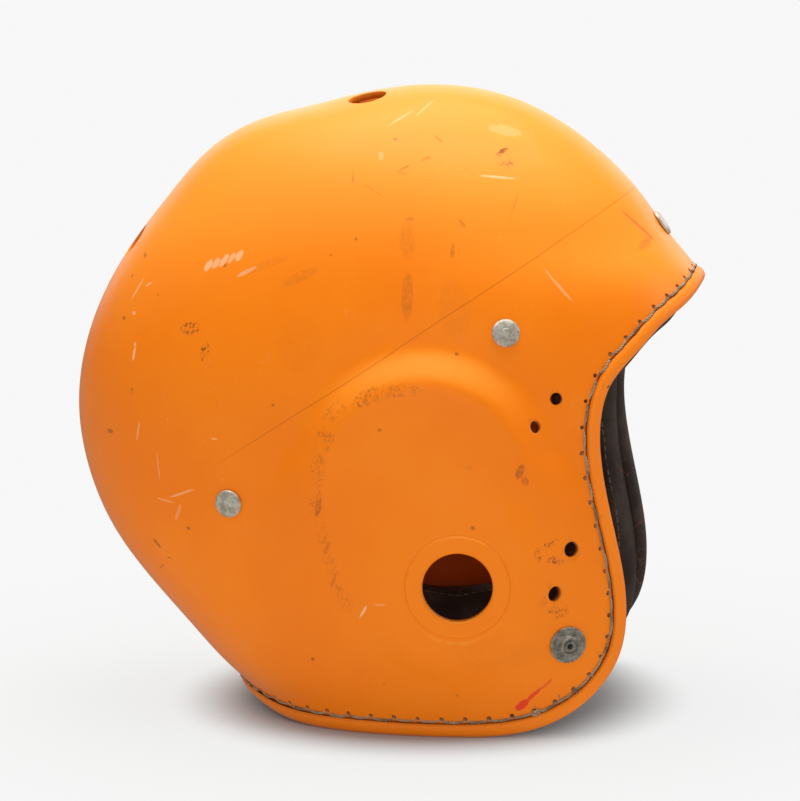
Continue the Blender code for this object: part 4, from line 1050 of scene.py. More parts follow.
def welt_material(colour):
    """Smooth vinyl, rubbed pale at its outer edge, with painted shade where the bead tucks against the shell's outer
    face and over its side inside the helmet.
    """
    material, shader, place = new_material("orange_vinyl_welt")
    turn = attribute_of(place, "bead_turn")
    rubbed = ramp(abs(turn), 0.35, 0.05) * ramp(noise(place, 40.0, 4.0), 0.35, 0.6)
    base = painted(mixed(noise(place, 30.0, 4.0), shaded(colour, 0.95, 0.88, 0.8), colour),
        (rubbed * 0.35, (0.78, 0.34, 0.20)),
        # Painted shade where the bead tucks against the shell's outer face, by the stitching
        (ramp(turn, 2.18, 2.28) * 0.2, (0.30, 0.04, 0.004)),
        # Painted shade over the bead's inner side and tail, inside the helmet
        (ramp(turn, -1.0, -1.5) * 0.6, (0.07, 0.022, 0.012)),
        (wear_of(place)["Speck"] * 0.7, (0.08, 0.03, 0.02)),
        (ramp(noise(place, 160.0, 4.0, 0.7), 0.62, 0.75) * 0.35, (0.35, 0.08, 0.02)))
    set_inputs(shader, Base_Color=base, Roughness=0.40, IOR=1.45, Specular_IOR_Level=0.30,
               Normal=bump(noise(place, 1500.0, 2.0), 0.12, 0.0003))
    return material


def metal_material(name, colour, roughness, tarnish):
    """Plated metal with cloudy tarnish and fine scratches."""
    material, shader, place = new_material(name)
    cloud = ramp(noise(place, 330.0, 6.0, 0.7), 0.36, 0.62)
    relief = noise(place, 1300.0, 4.0, 0.6) - wear_of(place)["Scratch"]
    set_inputs(shader, Base_Color=mixed(cloud, tarnish, colour), Metallic=0.6,
               Roughness=cloud * -0.16 + (roughness + 0.14), Normal=bump(relief, 0.2, 0.0003))
    return material


def leather_material(name, colour, dry, roughness):
    """Old leather: pebbled grain, creases cracked down to the dry fibre, and worn dull patches."""
    material, shader, place = new_material(name)
    bent = place.vectors("ADD", noise(place, 70.0)["Color"].vectors("MULTIPLY", (0.012, 0.012, 0.012)))
    crack = (ramp(voronoi(stretched(bent, (1.0, 1.0, 2.4)), 62.0, "DISTANCE_TO_EDGE"), 0.045, 0.008)
             * ramp(noise(place, 55.0), 0.50, 0.62))
    dull = ramp(noise(place, 38.0, 6.0, 0.65), 0.42, 0.72)
    base = painted(mixed(dull, colour, tuple(min(1, c * 2.1 + 0.006) for c in colour)),
        (ramp(noise(place, 130.0, 4.0, 0.7), 0.60, 0.70) * 0.55, shaded(dry, 0.6)),
        (crack * 0.85, dry))
    pebbles = voronoi(place, 1000.0, "DISTANCE_TO_EDGE")
    height = pebbles * 0.35 + noise(place, 150.0, 5.0, 0.6) - crack
    set_inputs(shader, Base_Color=base, Roughness=dull * 0.2 + (roughness - 0.05), Specular_IOR_Level=0.4,
               Normal=bump(height, 0.6, 0.0009))
    return material


def cloth_material(name, colour, pitch=0.0016):
    """Cotton webbing in a herringbone weave, grubby in patches, with painted shade in the weave's hollows. It reads the
    strap's own measure.
    """
    material, shader, place = new_material(name)
    axes = split(attribute_of(place, "strap_place", "Vector"))
    rib = ((axes["X"] + axes["Y"].maths("PINGPONG", 0.0022)) * (math.tau / pitch)).maths("SINE")
    warp = (axes["Y"] * (math.tau / (pitch * 0.45))).maths("SINE")
    weave = warp * 0.35 + rib
    base = painted(
        mixed(ramp(noise(place, 45.0, 5.0, 0.65), 0.4, 0.75), colour, shaded(colour, 0.62, 0.55, 0.45)),
        # Painted shade in the hollows of the weave
        (ramp(weave, 0.2, -1.1, 0.0, 0.45), shaded(colour, 0.4)))
    set_inputs(shader, Base_Color=base, Roughness=0.92,
               Normal=bump(noise(place, 2500.0, 2.0) * 0.4 + weave, 0.35, 0.0003))
    return material


def thread_material(name, colour):
    """Waxed thread, fibrous and soiled in patches."""
    material, shader, place = new_material(name)
    fibre = noise(place, 3800.0, 3.0)
    base = painted(mixed(ramp(noise(place, 110.0, 4.0, 0.7), 0.42, 0.66), colour, shaded(colour, 0.32)),
        (ramp(fibre, 0.45, 0.7, 0.0, 0.5), shaded(colour, 1.7)))
    set_inputs(shader, Base_Color=base, Roughness=0.75, Normal=bump(fibre, 0.4, 0.0003))
    return material


# Growing with Geometry Nodes
def geometry_tree(name, inputs):
    """An empty Geometry Nodes tree with named inputs and a material, and its two end nodes."""
    shape = ("Geometry", "Geometry", None)
    return node_group(name, "GeometryNodeTree", (shape, *inputs, ("Material", "Material", None)), (shape,))


def finish_tree(source, result, shape):
    """Ends a tree with its instances made real, in the tree's material."""
    real = add_node(source.tree, "GeometryNodeRealizeInstances", {0: shape})
    feed(result["Geometry"], add_node(source.tree, "GeometryNodeSetMaterial", {
        "Geometry": real, "Material": source["Material"]}))
    return source.tree


def joined_shapes(shapes):
    join = add_node(shapes[0].tree, "GeometryNodeJoinGeometry")
    for shape in shapes:
        feed(join.socket.node.inputs[0], shape)
    return join


def vector_of(x, y, z):
    return add_node(z.tree, "ShaderNodeCombineXYZ", {0: x, 1: y, 2: z})


def shifted(shape, **inputs):
    return add_node(shape.tree, "GeometryNodeSetPosition", {"Geometry": shape, **inputs})


def wire(curve, radius, **inputs):
    """A round wire along a curve."""
    ring = add_node(curve.tree, "GeometryNodeCurvePrimitiveCircle", {"Resolution": 6, "Radius": radius})
    return add_node(curve.tree, "GeometryNodeCurveToMesh", {
        0: curve, 1: ring, **{key.replace("_", " "): value for key, value in inputs.items()}})


def on_places(source, result, shape, spread):
    """Sets one shape at every place, its Z off the surface and its X along the row."""
    tree = source.tree
    off, run = (add_node(tree, "GeometryNodeInputNamedAttribute", {"Name": name}, data_type="FLOAT_VECTOR")
                for name in ("off", "run"))
    turn = add_node(tree, "FunctionNodeAxesToRotation", {0: off, 1: run}, primary_axis="Z", secondary_axis="X")
    sizes = add_node(tree, "FunctionNodeRandomValue", {
        0: tuple(1 - s for s in spread), 1: tuple(1 + s for s in spread), "Seed": 7}, data_type="FLOAT_VECTOR")
    return finish_tree(source, result, add_node(tree, "GeometryNodeInstanceOnPoints", {
        "Points": source["Geometry"], "Instance": shape, "Rotation": turn, "Scale": sizes}))


@built_once("Helmet Stitches")
def stitch_tree(name):
    """A stitch of two twisted strands that rises from one hole, runs to the next and dips again."""
    tree, source, result = geometry_tree(name, (
        ("Length", "Float", 0.011), ("Strand", "Float", 0.0006), ("Twists", "Float", 4.0), ("Bow", "Float", 0.001),
        ("Lift", "Float", 0.0004), ("Dip", "Float", 0.0012), ("Steps", "Int", 20)))
    share = add_node(tree, "GeometryNodeInputIndex").maths("DIVIDE", source["Steps"] - 1.0)
    arch = (share * math.pi).maths("SINE").larger(0.0)
    bow = arch**0.3 * source["Bow"]
    rise = arch**0.45 * (source["Lift"] + source["Dip"]) - source["Dip"]
    strands = []
    for phase in (0.0, math.pi):
        turn = share * source["Twists"] * math.tau + phase
        half = source["Strand"] * 0.52
        place = vector_of((share - 0.5) * source["Length"], turn.maths("COSINE") * half + bow,
                          turn.maths("SINE") * half + rise)
        line = shifted(add_node(tree, "GeometryNodeMeshLine", {"Count": source["Steps"]}), Position=place)
        curve = add_node(tree, "GeometryNodeMeshToCurve", {0: line})
        strands.append(wire(curve, source["Strand"] * 0.56, Fill_Caps=True))
    return on_places(source, result, joined_shapes(strands), (0.02, 0.30, 0.15))


@built_once("Helmet Burrs")
def burr_tree(name):
    """The plastic pushed up round one side of a stitch hole."""
    tree, source, result = geometry_tree(name, (("Hole", "Float", 0.0016), ("Rim", "Float", 0.0004)))
    arc = add_node(tree, "GeometryNodeCurveArc", {
        "Resolution": 12, "Radius": source["Hole"] * 0.5 + source["Rim"] * 0.35,
        "Start Angle": math.radians(110), "Sweep Angle": math.radians(215)})
    swell = (add_node(tree, "GeometryNodeSplineParameter") * math.pi).maths("SINE")**0.6
    arc = add_node(tree, "GeometryNodeSetCurveRadius", {0: arc, "Radius": swell.larger(0.05)})
    return on_places(source, result, wire(arc, source["Rim"], Scale=swell, Fill_Caps=True), (0.12, 0.12, 0.35))


@built_once("Helmet Braid")
def braid_tree(name):
    """Strands wound both ways round a closed line that lies level."""
    tree, source, result = geometry_tree(name, (
        ("Diameter", "Float", 0.003), ("Strand", "Float", 0.0011), ("Turns", "Float", 30.0), ("Steps", "Int", 400)))
    strands = []
    for direction in (1.0, -1.0):
        for third in range(3):
            curve = add_node(tree, "GeometryNodeMeshToCurve", {0: source["Geometry"]})
            curve = add_node(tree, "GeometryNodeResampleCurve", {"Curve": curve, "Count": source["Steps"]})
            share = add_node(tree, "GeometryNodeSplineParameter")
            turn = share * source["Turns"] * (math.tau * direction) + math.tau * third / 3
            wave = (turn * 3.0 + math.pi / 2 * (1 - direction)).maths("SINE")
            reach = (source["Diameter"] - source["Strand"]) * 0.5 * (wave * 0.12 + 0.9)
            side = add_node(tree, "GeometryNodeInputTangent").vectors("CROSS_PRODUCT", (0, 0, 1))
            offset = side.vectors("SCALE", Scale=reach * turn.maths("COSINE")).vectors(
                "ADD", vector_of(0.0, 0.0, reach * turn.maths("SINE")))
            strands.append(wire(shifted(curve, Offset=offset), source["Strand"] * 0.5))
    return finish_tree(source, result, joined_shapes(strands))


def grown(name, mesh, tree, **values):
    """The plain mesh that a tree grows on a mesh, with the tree's named inputs set."""
    holder = scratch_object(mesh)
    modifier = holder.modifiers.new("grow", "NODES")
    modifier.node_group = tree
    for item in tree.interface.items_tree:
        if item.in_out == "INPUT" and item.name in values:
            modifier[item.identifier] = values[item.name]
    return evaluated_mesh(holder, name)


def places_mesh(places, off, run):
    """Loose points that carry the directions off the surface and along their row."""
    mesh = mesh_of("places", places, [])
    add_attribute(mesh, "off", off)
    add_attribute(mesh, "run", run)
    return mesh


# Shell
def grid_places(cells):
    """A square grid bent to a disc: how far round the edge and how deep towards it each cell lies."""
    ticks = np.linspace(-1, 1, 2 * cells + 1)
    u, v = np.meshgrid(ticks, ticks, indexing="ij")
    disc_u, disc_v = u * np.sqrt(1 - v**2 / 2), v * np.sqrt(1 - u**2 / 2)
    return np.arctan2(disc_v, disc_u) / math.tau, np.minimum(np.hypot(disc_u, disc_v), 1)


def border_cells(size):
    last = size - 1
    border = [(last, j) for j in range(last)] + [(i, last) for i in range(last, 0, -1)]
    return border + [(0, j) for j in range(last, 0, -1)] + [(i, 0) for i in range(last)]


def shell_wall_mesh(surface, cells):
    """The wall between the outer surface and its copy one wall further in."""
    along, depth = grid_places(cells)
    grid = surface.hit(surface.directions(along, depth))
    size = len(grid)
    normals = surface.normal(grid)
    border = border_cells(size)
    across = surface.edge_frames(np.array([along[cell] for cell in border]))[2]
    for cell, out in zip(border, across):
        normals[cell] = out
    points = np.concatenate([grid.reshape(-1, 3), (grid - normals * surface.sizes.wall).reshape(-1, 3)])
    outer = []
    for i in range(size - 1):
        for j in range(size - 1):
            a, b = i * size + j, i * size + j + 1
            c, d = a + size + 1, a + size
            outer += [(a, b, c), (a, c, d)] if (i < size // 2) == (j < size // 2) else [(a, b, d), (b, c, d)]
    inner = [tuple(size * size + k for k in face[::-1]) for face in outer]
    rim = [i * size + j for i, j in border]
    side = [(a, b, size * size + b, size * size + a) for a, b in zip(rim, rim[1:] + rim[:1])]
    return face_out(mesh_of("shell_wall", points, outer + inner + side))


def drill(seat, diameter, ease, sides=32):
    """A round cutter whose mouth flares a little at the wall's outer face."""
    radius = diameter / 2
    profile = [(0, -DRILL_DEPTH), (radius, -DRILL_DEPTH), (radius, -ease), (radius + 0.3 * ease, -0.3 * ease),
               (radius + ease, 0.12 * ease), (radius + 1.3 * ease, DRILL_HEIGHT), (0, DRILL_HEIGHT)]
    return placed(turned_mesh("drill", profile, sides), seat)


def ear_ring_mesh(surface, side, patch):
    """The raised ring round the ear hole, turned with the flat that it stands on."""
    sizes = surface.sizes
    bore, rim, rise, wall = sizes.ear_hole / 2, sizes.ear_ring / 2, sizes.ear_ring_rise, sizes.wall
    corners = [(bore, -wall, 0), (bore, -wall / 2), (bore, rise - 0.0010), (bore + 0.0008, rise - 0.0002, 0.0007),
               (bore + 0.0030, rise, 0.0006), (rim - 0.0030, rise), (rim - 0.0006, rise - 0.0002, 0.0009),
               (rim, rise - 0.0009, 0.0006), (rim + 0.0001, 0, 0.0002), (patch - 0.0004, 0), (patch, 0),
               (patch, -wall), (bore, -wall)]
    profile = round_corners(corners)[:-1]
    return placed(turned_mesh("ear_ring", profile, 96), surface.side_seat(EAR_SHARES, side))


def hole_shade(points, holes, wall):
    """How deep each point lies in a drilled hole, as a share of the wall; the shell darkens it as painted shade."""
    shade_share = np.zeros(len(points))
    for (place, normal), diameter in holes:
        offset = points - place
        depth = -(offset @ normal)
        radius = lengths(offset + depth[:, None] * normal)
        inside = (radius < diameter / 2 * 1.12) & (depth > -0.001) & (depth < 1.6 * wall)
        shade_share[inside] = np.maximum(shade_share[inside], np.clip(depth[inside] / wall + 0.12, 0, 1))
    return shade_share


class HELMET_OT_shell(Operator):
    """Moulds the shell with its ear domes, rings, vents and holes"""

    bl_idname = "helmet.shell"
    bl_label = "Shell"

    def execute(self, context):
        sizes, welt, hardware = settings(context, "shell", "welt", "hardware")
        surface = helmet_surface(context)
        patch = sizes.ear_ring / 2 + 0.0016
        drills, rings = [], []
        holes = [(seat, welt.stitch_hole) for seat in zip(*stitch_holes(surface, welt))]
        for side in (-1, 1):
            cut = [(0, -DRILL_DEPTH), (patch, -DRILL_DEPTH), (patch, DRILL_HEIGHT), (0, DRILL_HEIGHT)]
            drills.append(placed(turned_mesh("ear_cut", cut, 96), surface.side_seat(EAR_SHARES, side)))
            rings.append(ear_ring_mesh(surface, side, patch))
            holes += [(surface.side_seat(shares, side), sizes.temple_hole) for shares in TEMPLE_HOLE_SHARES]
            holes += [(surface.side_seat(shares, side), sizes.cheek_hole) for shares in CHEEK_HOLE_SHARES]
            holes.append((surface.side_seat(STUD_SHARES, side), hardware.eyelet + 2 * sizes.gap))
        holes += [(seat, hardware.rivet_shank + 2 * sizes.gap) for seat in surface.rivet_seats().values()]
        for seat, diameter in holes:
            drills.append(drill(seat, diameter, min(0.0004, diameter / 12), 12 if diameter < 0.002 else 40))
        drills += [drill(seat, sizes.vent, 0.0005, 72) for seat in surface.vent_seats()]
        shell = drilled(shell_wall_mesh(surface, SHELL_CELLS), joined("shell_drills", drills), "shell_body")
        shell = joined("shell_body", [shell] + rings)
        points = mesh_points(shell)
        add_attribute(shell, "edge_distance", distance_to_line(points, surface.edge))
        add_attribute(shell, "hole_shade", hole_shade(points, holes, sizes.wall))
        # The inner wall, which the material darkens as painted shade
        off = points - surface.centre
        inner = lengths(surface.hit(unit(off)) - surface.centre) - lengths(off) > sizes.wall * 0.8
        add_attribute(shell, "shaded_inner_wall", inner.astype(float))
        # Paler where the surface faces up, by its true normals too, so that ring bevels and hole lips catch it: partly
        # fading, partly a painted highlight from above
        facing = np.empty(len(points) * 3, np.float32)
        shell.vertex_normals.foreach_get("vector", facing)
        upward = np.maximum(surface.normal(points)[:, 2], facing[2::3])
        add_attribute(shell, "fade_and_highlight", smooth_step((upward - 0.24) / 0.42) * ~inner)
        add_piece(context, "shell_body", shell, shell_material(surface, sizes.colour), "orange_shell", "shell")
        return {"FINISHED"}


# Welt
def welt_profile(sizes, welt):
    """The welt's section, as (outward, across) points with the turn round its bead, or -2 elsewhere."""
    radius = welt.bead / 2
    slot = sizes.wall / 2 + sizes.gap
    tail = slot + welt.tail_thickness
    first = -math.pi + math.asin(min(tail / radius, 1))
    last = math.pi - math.asin((slot + welt.lip_lean) / radius)
    rows = []
    for step in range(33):
        turn = first + (last - first) * step / 32
        c, s = math.cos(turn), math.sin(turn)
        square = BEAD_FLAT_SPAN[0] < turn < BEAD_FLAT_SPAN[1]
        flatter = (abs(c)**BEAD_POWER + abs(s)**BEAD_POWER)**(-1 / BEAD_POWER) if square else 1
        rows.append((welt.reach + radius * c * flatter, radius * s * flatter, turn))
    rows.append((rows[-1][0] - 0.0002, rows[-1][1] - 0.0003, last))
    rows += [(sizes.gap, slot, -2), (sizes.gap, -slot, -2), (-welt.tail_length, -slot - welt.tail_lean, -2),
             (-welt.tail_length, -tail - welt.tail_lean, -2)]
    return np.array(rows)


def pressed(along):
    """How far the left jaw pad's leather presses the welt flat, along the left edge."""
    first, last = PRESSED_SPAN
    return smooth_step((along - first) / 0.012) * smooth_step((last - along) / 0.012)


class HELMET_OT_welt(Operator):
    """Rolls the vinyl welt round the shell's edge"""

    bl_idname = "helmet.welt"
    bl_label = "Welt"

    def execute(self, context):
        sizes, welt = settings(context, "shell", "welt")
        surface = helmet_surface(context)
        along = np.arange(WELT_STATIONS) / WELT_STATIONS
        edge, outward, across = surface.edge_frames(along)
        profile = welt_profile(sizes, welt)
        middle = edge - across * sizes.wall / 2
        flat = pressed(1 - along)[:, None, None]
        reach = profile[:, :1] * (1 - PRESSED_SHARES[0] * flat * (profile[:, :1] > 0))
        rise = profile[:, 1:2] * (1 - PRESSED_SHARES[1] * flat)
        rings = middle[:, None] + outward[:, None] * reach + across[:, None] * rise
        rings[..., 2] = np.maximum(rings[..., 2], -sizes.stand)
        mesh = swept_mesh("edge_welt_bead", rings, closed=True)
        add_attribute(mesh, "bead_turn", np.tile(profile[:, 2], len(rings)))
        add_piece(context, "edge_welt_bead", mesh, welt_material(welt.colour), "orange_vinyl", "edge_welt")
        return {"FINISHED"}


class HELMET_OT_stitching(Operator):
    """Sews the welt on with twisted thread, hole by hole"""

    bl_idname = "helmet.stitching"
    bl_label = "Stitching"

    def execute(self, context):
        welt = context.scene.helmet_welt
        surface = helmet_surface(context)
        holes, off = stitch_holes(surface, welt)
        following = np.roll(holes, -1, axis=0)
        run = unit(following - holes)
        thread = thread_material("waxed_welt_thread", welt.thread_colour)
        middle = surface.hit(unit((holes + following) / 2 - surface.centre))
        reach = float(lengths(following - holes).mean())
        stitches = grown("welt_stitches", places_mesh(middle, surface.normal(middle), run), stitch_tree(),
                         Length=reach, Strand=welt.thread, Twists=3.5, Bow=welt.thread_bow, Lift=welt.thread * 0.7,
                         Dip=0.0016, Steps=26, Material=thread)
        add_piece(context, "welt_stitches", stitches, thread, "lace_cord")
        plastic = bpy.data.objects["shell_body"].data.materials[0]
        burrs = grown("stitch_burrs", places_mesh(holes, off, run), burr_tree(), Hole=welt.stitch_hole,
                      Rim=0.00026, Material=plastic)
        add_piece(context, "stitch_burrs", burrs, plastic, "orange_shell")
        self.fray(context, surface, welt, thread)
        return {"FINISHED"}

    def fray(self, context, surface, welt, thread):
        """Loose thread ends and a knot at the front of the right jaw."""
        meshes = []
        rng = np.random.default_rng(5)
        inset = welt.stitch_inset - welt.thread_bow
        for along, count, reach in TUFTS:
            base, normal = (row[0] for row in surface.seam_places(np.array([along]), inset))
            ahead = surface.seam_places(np.array([along + 0.002]), welt.stitch_inset)[0][0]
            run = unit(ahead - base)
            side = np.cross(normal, run)
            for _ in range(count):
                bend = rng.normal(size=(4, 3)) * (0.5, 0.55, 0.25)
                knots = [base - normal * 0.0008]
                for k in range(4):
                    step = run * bend[k, 0] + side * bend[k, 1] + normal * abs(bend[k, 2]) * (0.9 if k < 2 else 0.2)
                    knots.append(knots[-1] + unit(step) * reach / 4)
                meshes.append(swept_mesh("fray", round_rings(smooth_curve(knots, 5), HAIR_RADIUS, 5), closed=False))
        knot, normal = (row[0] for row in surface.seam_places(np.array([TUFTS[2][0]]), inset))
        first = unit(np.cross(normal, (0, 0, 1.0)))
        axes = first, np.cross(normal, first), normal
        loop = knot_loop(knot + normal * 0.0007, axes, (0.00062, 0.00050, 0.0005), 2, 40)
        meshes.append(swept_mesh("knot", round_rings(loop, welt.thread * 0.75, 8, closed=True), closed=True))
        add_piece(context, "welt_thread_ends", joined("welt_thread_ends", meshes), thread, "lace_cord")


# Rivets and studs
class HELMET_OT_rivets(Operator):
    """Sets the six domed rivets with their washers"""

    bl_idname = "helmet.rivets"
    bl_label = "Rivets"

    def execute(self, context):
        sizes, hardware, web = settings(context, "shell", "hardware", "suspension")
        surface = helmet_surface(context)
        head, shank, tail = hardware.rivet_head / 2, hardware.rivet_shank / 2, hardware.rivet_tail / 2
        lift, rise, plate = sizes.gap, hardware.rivet_rise, hardware.plate
        dome = []
        for radius in np.concatenate([np.linspace(0, 0.6, 16), np.linspace(0.66, 0.985, 9)]) * head:
            level = 0.30 + 0.70 * math.sqrt(1 - (radius / head)**2)
            dome.append((radius, lift + rise * level - 0.00016 * math.exp(-((radius - 0.0024) / 0.0003)**2)
                         + 0.00008 * math.exp(-(radius / 0.0016)**4)))
        washer_top = -sizes.wall - web.stand_off - web.web_thickness - sizes.gap
        tail_top = washer_top - plate - sizes.gap
        profile = dome + round_corners([
            dome[-1], (head, lift + 0.32 * rise, 0.0003), (head, lift, 0.0001), (shank, lift), (shank, tail_top),
            (tail, tail_top, 0.0002), (tail, tail_top - plate, 0.0003), (0, tail_top - plate)])[1:]
        bore, rim = shank + sizes.gap, hardware.washer / 2
        washer = round_corners([
            (bore, washer_top), (rim, washer_top, 0.0002), (rim, washer_top - plate, 0.0002),
            (bore, washer_top - plate)])
        nickel = metal_material("nickel_rivet", hardware.nickel, 0.30, (0.44, 0.37, 0.26))
        brass = metal_material("brass_washer", hardware.brass, 0.36, (0.16, 0.09, 0.04))
        for name, seat in surface.rivet_seats().items():
            add_turned(context, f"rivet_{name}", profile, seat, nickel, "nickel")
            add_turned(context, f"rivet_washer_{name}", washer, seat, brass, "brass")
        return {"FINISHED"}


class HELMET_OT_studs(Operator):
    """Sets the chin strap studs with their eyelets and washers"""

    bl_idname = "helmet.studs"
    bl_label = "Strap Studs"

    def execute(self, context):
        sizes, hardware = settings(context, "shell", "hardware")
        surface = helmet_surface(context)
        bore = hardware.eyelet / 2 + sizes.gap
        flange, neck, post = hardware.flange / 2, hardware.neck / 2, hardware.post / 2
        floor, step = sizes.gap, hardware.flange_thickness
        top = floor + hardware.post_height
        stud = round_corners([
            (bore, floor), (flange, floor, 0.0003), (flange, floor + 0.9 * step, 0.0004),
            (flange - 0.0009, floor + step, 0.0003), (flange - 0.0013, floor + 0.75 * step, 0.0002),
            (neck + 0.0017, floor + 0.70 * step, 0.0003), (neck + 0.0008, floor + 1.1 * step, 0.0003),
            (neck, floor + 1.5 * step, 0.0004), (neck, top - 0.0017, 0.0003), (post, top - 0.0010, 0.0005),
            (post - 0.0003, top, 0.0005), (post - 0.0012, top, 0.0004), (post - 0.0016, top - 0.0009, 0.0003),
            (bore + 0.0005, top - 0.0010, 0.0002), (bore, top - step - 0.0001)])
        outer, inner, lip = hardware.eyelet / 2, hardware.eyelet_bore / 2, hardware.eyelet_lip / 2
        seat_level = top - step + sizes.gap
        washer_top = -sizes.wall - sizes.gap
        washer_bottom = washer_top - hardware.plate
        clinch, thick = washer_bottom - sizes.gap, hardware.eyelet_lip_thickness
        collar = top - 0.0010 + sizes.gap
        eyelet = round_corners([
            (inner, seat_level - 0.0006), (inner, collar - 0.0002, 0.0003), (inner + 0.0004, collar + 0.0004, 0.0002),
            (bore + 0.0004, collar + 0.0003, 0.0003), (bore + 0.0003, collar, 0.0001), (outer, collar - 0.0002, 0.0002),
            (outer, clinch), (lip, clinch, 0.0002), (lip, clinch - thick, 0.0002), (inner, clinch - thick, 0.0002),
            (inner, clinch)])
        rim = hardware.stud_washer / 2
        washer = round_corners([
            (bore, washer_top), (rim, washer_top, 0.0002), (rim, washer_bottom, 0.0002), (bore, washer_bottom)])
        steel = metal_material("tarnished_steel_stud", hardware.steel, 0.36, (0.22, 0.19, 0.14))
        brass = metal_material("brass_stud_washer", hardware.brass, 0.36, (0.16, 0.09, 0.04))
        for word, side in SIDES.items():
            seat = surface.side_seat(STUD_SHARES, side)
            add_turned(context, f"strap_stud_{word}", stud, seat, steel, "aged_steel", 64)
            add_turned(context, f"stud_eyelet_{word}", eyelet, seat, steel, "aged_steel", 32)
            add_turned(context, f"stud_washer_{word}", washer, seat, brass, "brass")
        return {"FINISHED"}


# Web suspension
def lace_centre(surface, web):
    return np.array([LACE_PLACE_SHARE * surface.length / 2, 0, surface.top - web.lace_drop])


def strip_frames(stations, closed=False):
    """Places, width directions and thickness directions along a strip."""
    place, wide = stations[:, :3], stations[:, 3:]
    run = run_of(place, closed)
    thick = unit(np.cross(run, wide))
    return place, unit(np.cross(thick, run)), thick, run


def facing_in(surface, place, thick):
    """The thickness directions of a strip, all turned towards the head."""
    return np.sign(np.sum(thick * (surface.centre - place), axis=1, keepdims=True)) * thick


def strip_mesh(name, stations, width, thickness, closed=False):
    """A strap with eased edges, which carries its own measure along and across."""
    place, wide, thick, _ = strip_frames(stations, closed)
    half, ease = width / 2, thickness * 0.35
    flat = half - ease
    section = [(-flat, -thickness / 2)] + [(s * flat, -thickness / 2) for s in (-0.6, -0.2, 0.2, 0.6, 1)]
    section += [(half, -thickness / 2 + ease), (half, thickness / 2 - ease)]
    section += [(s * flat, thickness / 2) for s in (1, 0.6, 0.2, -0.2, -0.6, -1)]
    section += [(-half, thickness / 2 - ease), (-half, -thickness / 2 + ease)]
    mesh = swept_mesh(name, np.stack([place + wide * a + thick * b for a, b in section], axis=1), closed)
    add_attribute(mesh, "strap_place", [(along, a, 0) for along in travelled(place) for a, _ in section])
    return mesh


def strap_row(surface, start, end, share, drop):
    """A place under the shell on the way from the rivet to the lace, with the strap's width there."""
    sweep = math.acos(start @ end)
    direction = (math.sin((1 - share) * sweep) * start + math.sin(share * sweep) * end) / math.sin(sweep)
    hit = surface.hit(direction)
    out = surface.normal(hit)
    wide = unit(np.cross(end - start, out))
    return np.concatenate([hit - out * drop, wide])


def strap_rows(surface, web, point, crossing):
    """Rows of a strap, from its tab below the rivet up to the lace."""
    rise, low_depth, high_depth = crossing
    centre = lace_centre(surface, web)
    heading = unit((point - centre) * (1, 1, 0))
    lace_point = centre + heading * web.lace_ring
    start, end = unit(point - surface.centre), unit(lace_point - surface.centre)
    reach = lengths(point - surface.centre) * math.acos(start @ end)
    wall = surface.sizes.wall + web.stand_off + web.web_thickness / 2
    half = web.band_width * 11 / 20
    upper = (1 + (rise + half) / reach) / 2
    plan = ((-web.tab, wall), (0, wall), (web.tab, wall), (rise - half, low_depth), (rise, 0),
            (rise + half, high_depth), (upper * reach, (high_depth + web.lace_drop) / 2))
    rows = [strap_row(surface, start, end, distance / reach, drop) for distance, drop in plan]
    rows[4] = (rows[3] + rows[5]) / 2
    tangent = np.cross(heading, (0, 0, 1))
    back = rows[-1][:3] - lace_point
    back = unit(back - tangent * (back @ tangent))
    above = np.cross(tangent, back)
    above *= math.copysign(1, above[2])
    fold = web.lace / 2 + 2 * surface.sizes.gap + web.web_thickness / 2
    for along, up in FOLD_SHARES:
        rows.append(np.concatenate([lace_point + fold * (along * back + up * above), tangent]))
    if rows[0][3:] @ tangent < 0:
        for row in rows[:len(plan)]:
            row[3:] *= -1
    return rows


def suspension_lines(surface, web):
    """The rows of every strap and the stations of the sweatband."""
    places = surface.rivet_seats()
    straps = {name: strap_rows(surface, web, place[0], BAND_CROSSINGS[name]) for name, place in places.items()}
    names = sorted(straps, key=lambda name: math.atan2(straps[name][4][1], straps[name][4][0]))
    ring = closed_curve([straps[name][4][:3] for name in names], RING_STEPS)
    knots = []
    for i, name in enumerate(names):
        rows = straps[name]
        along = unit(ring[RING_STEPS * i + 1] - ring[RING_STEPS * i - 1])
        along *= math.copysign(1, along @ rows[3][3:])
        rows[3][3:] = rows[4][3:] = rows[5][3:] = along
        low, high = rows[3][:3], rows[5][:3]
        climb = unit(high - low)
        inward = unit(np.cross(climb, along))
        inward *= math.copysign(1, inward @ (surface.centre - low))
        gap = web.web_thickness / 2 + 3 * surface.sizes.gap + web.band_thickness / 2
        knots.append(np.concatenate([(low + high) / 2 + inward * gap, climb]))
    return straps, closed_curve(knots, 24)


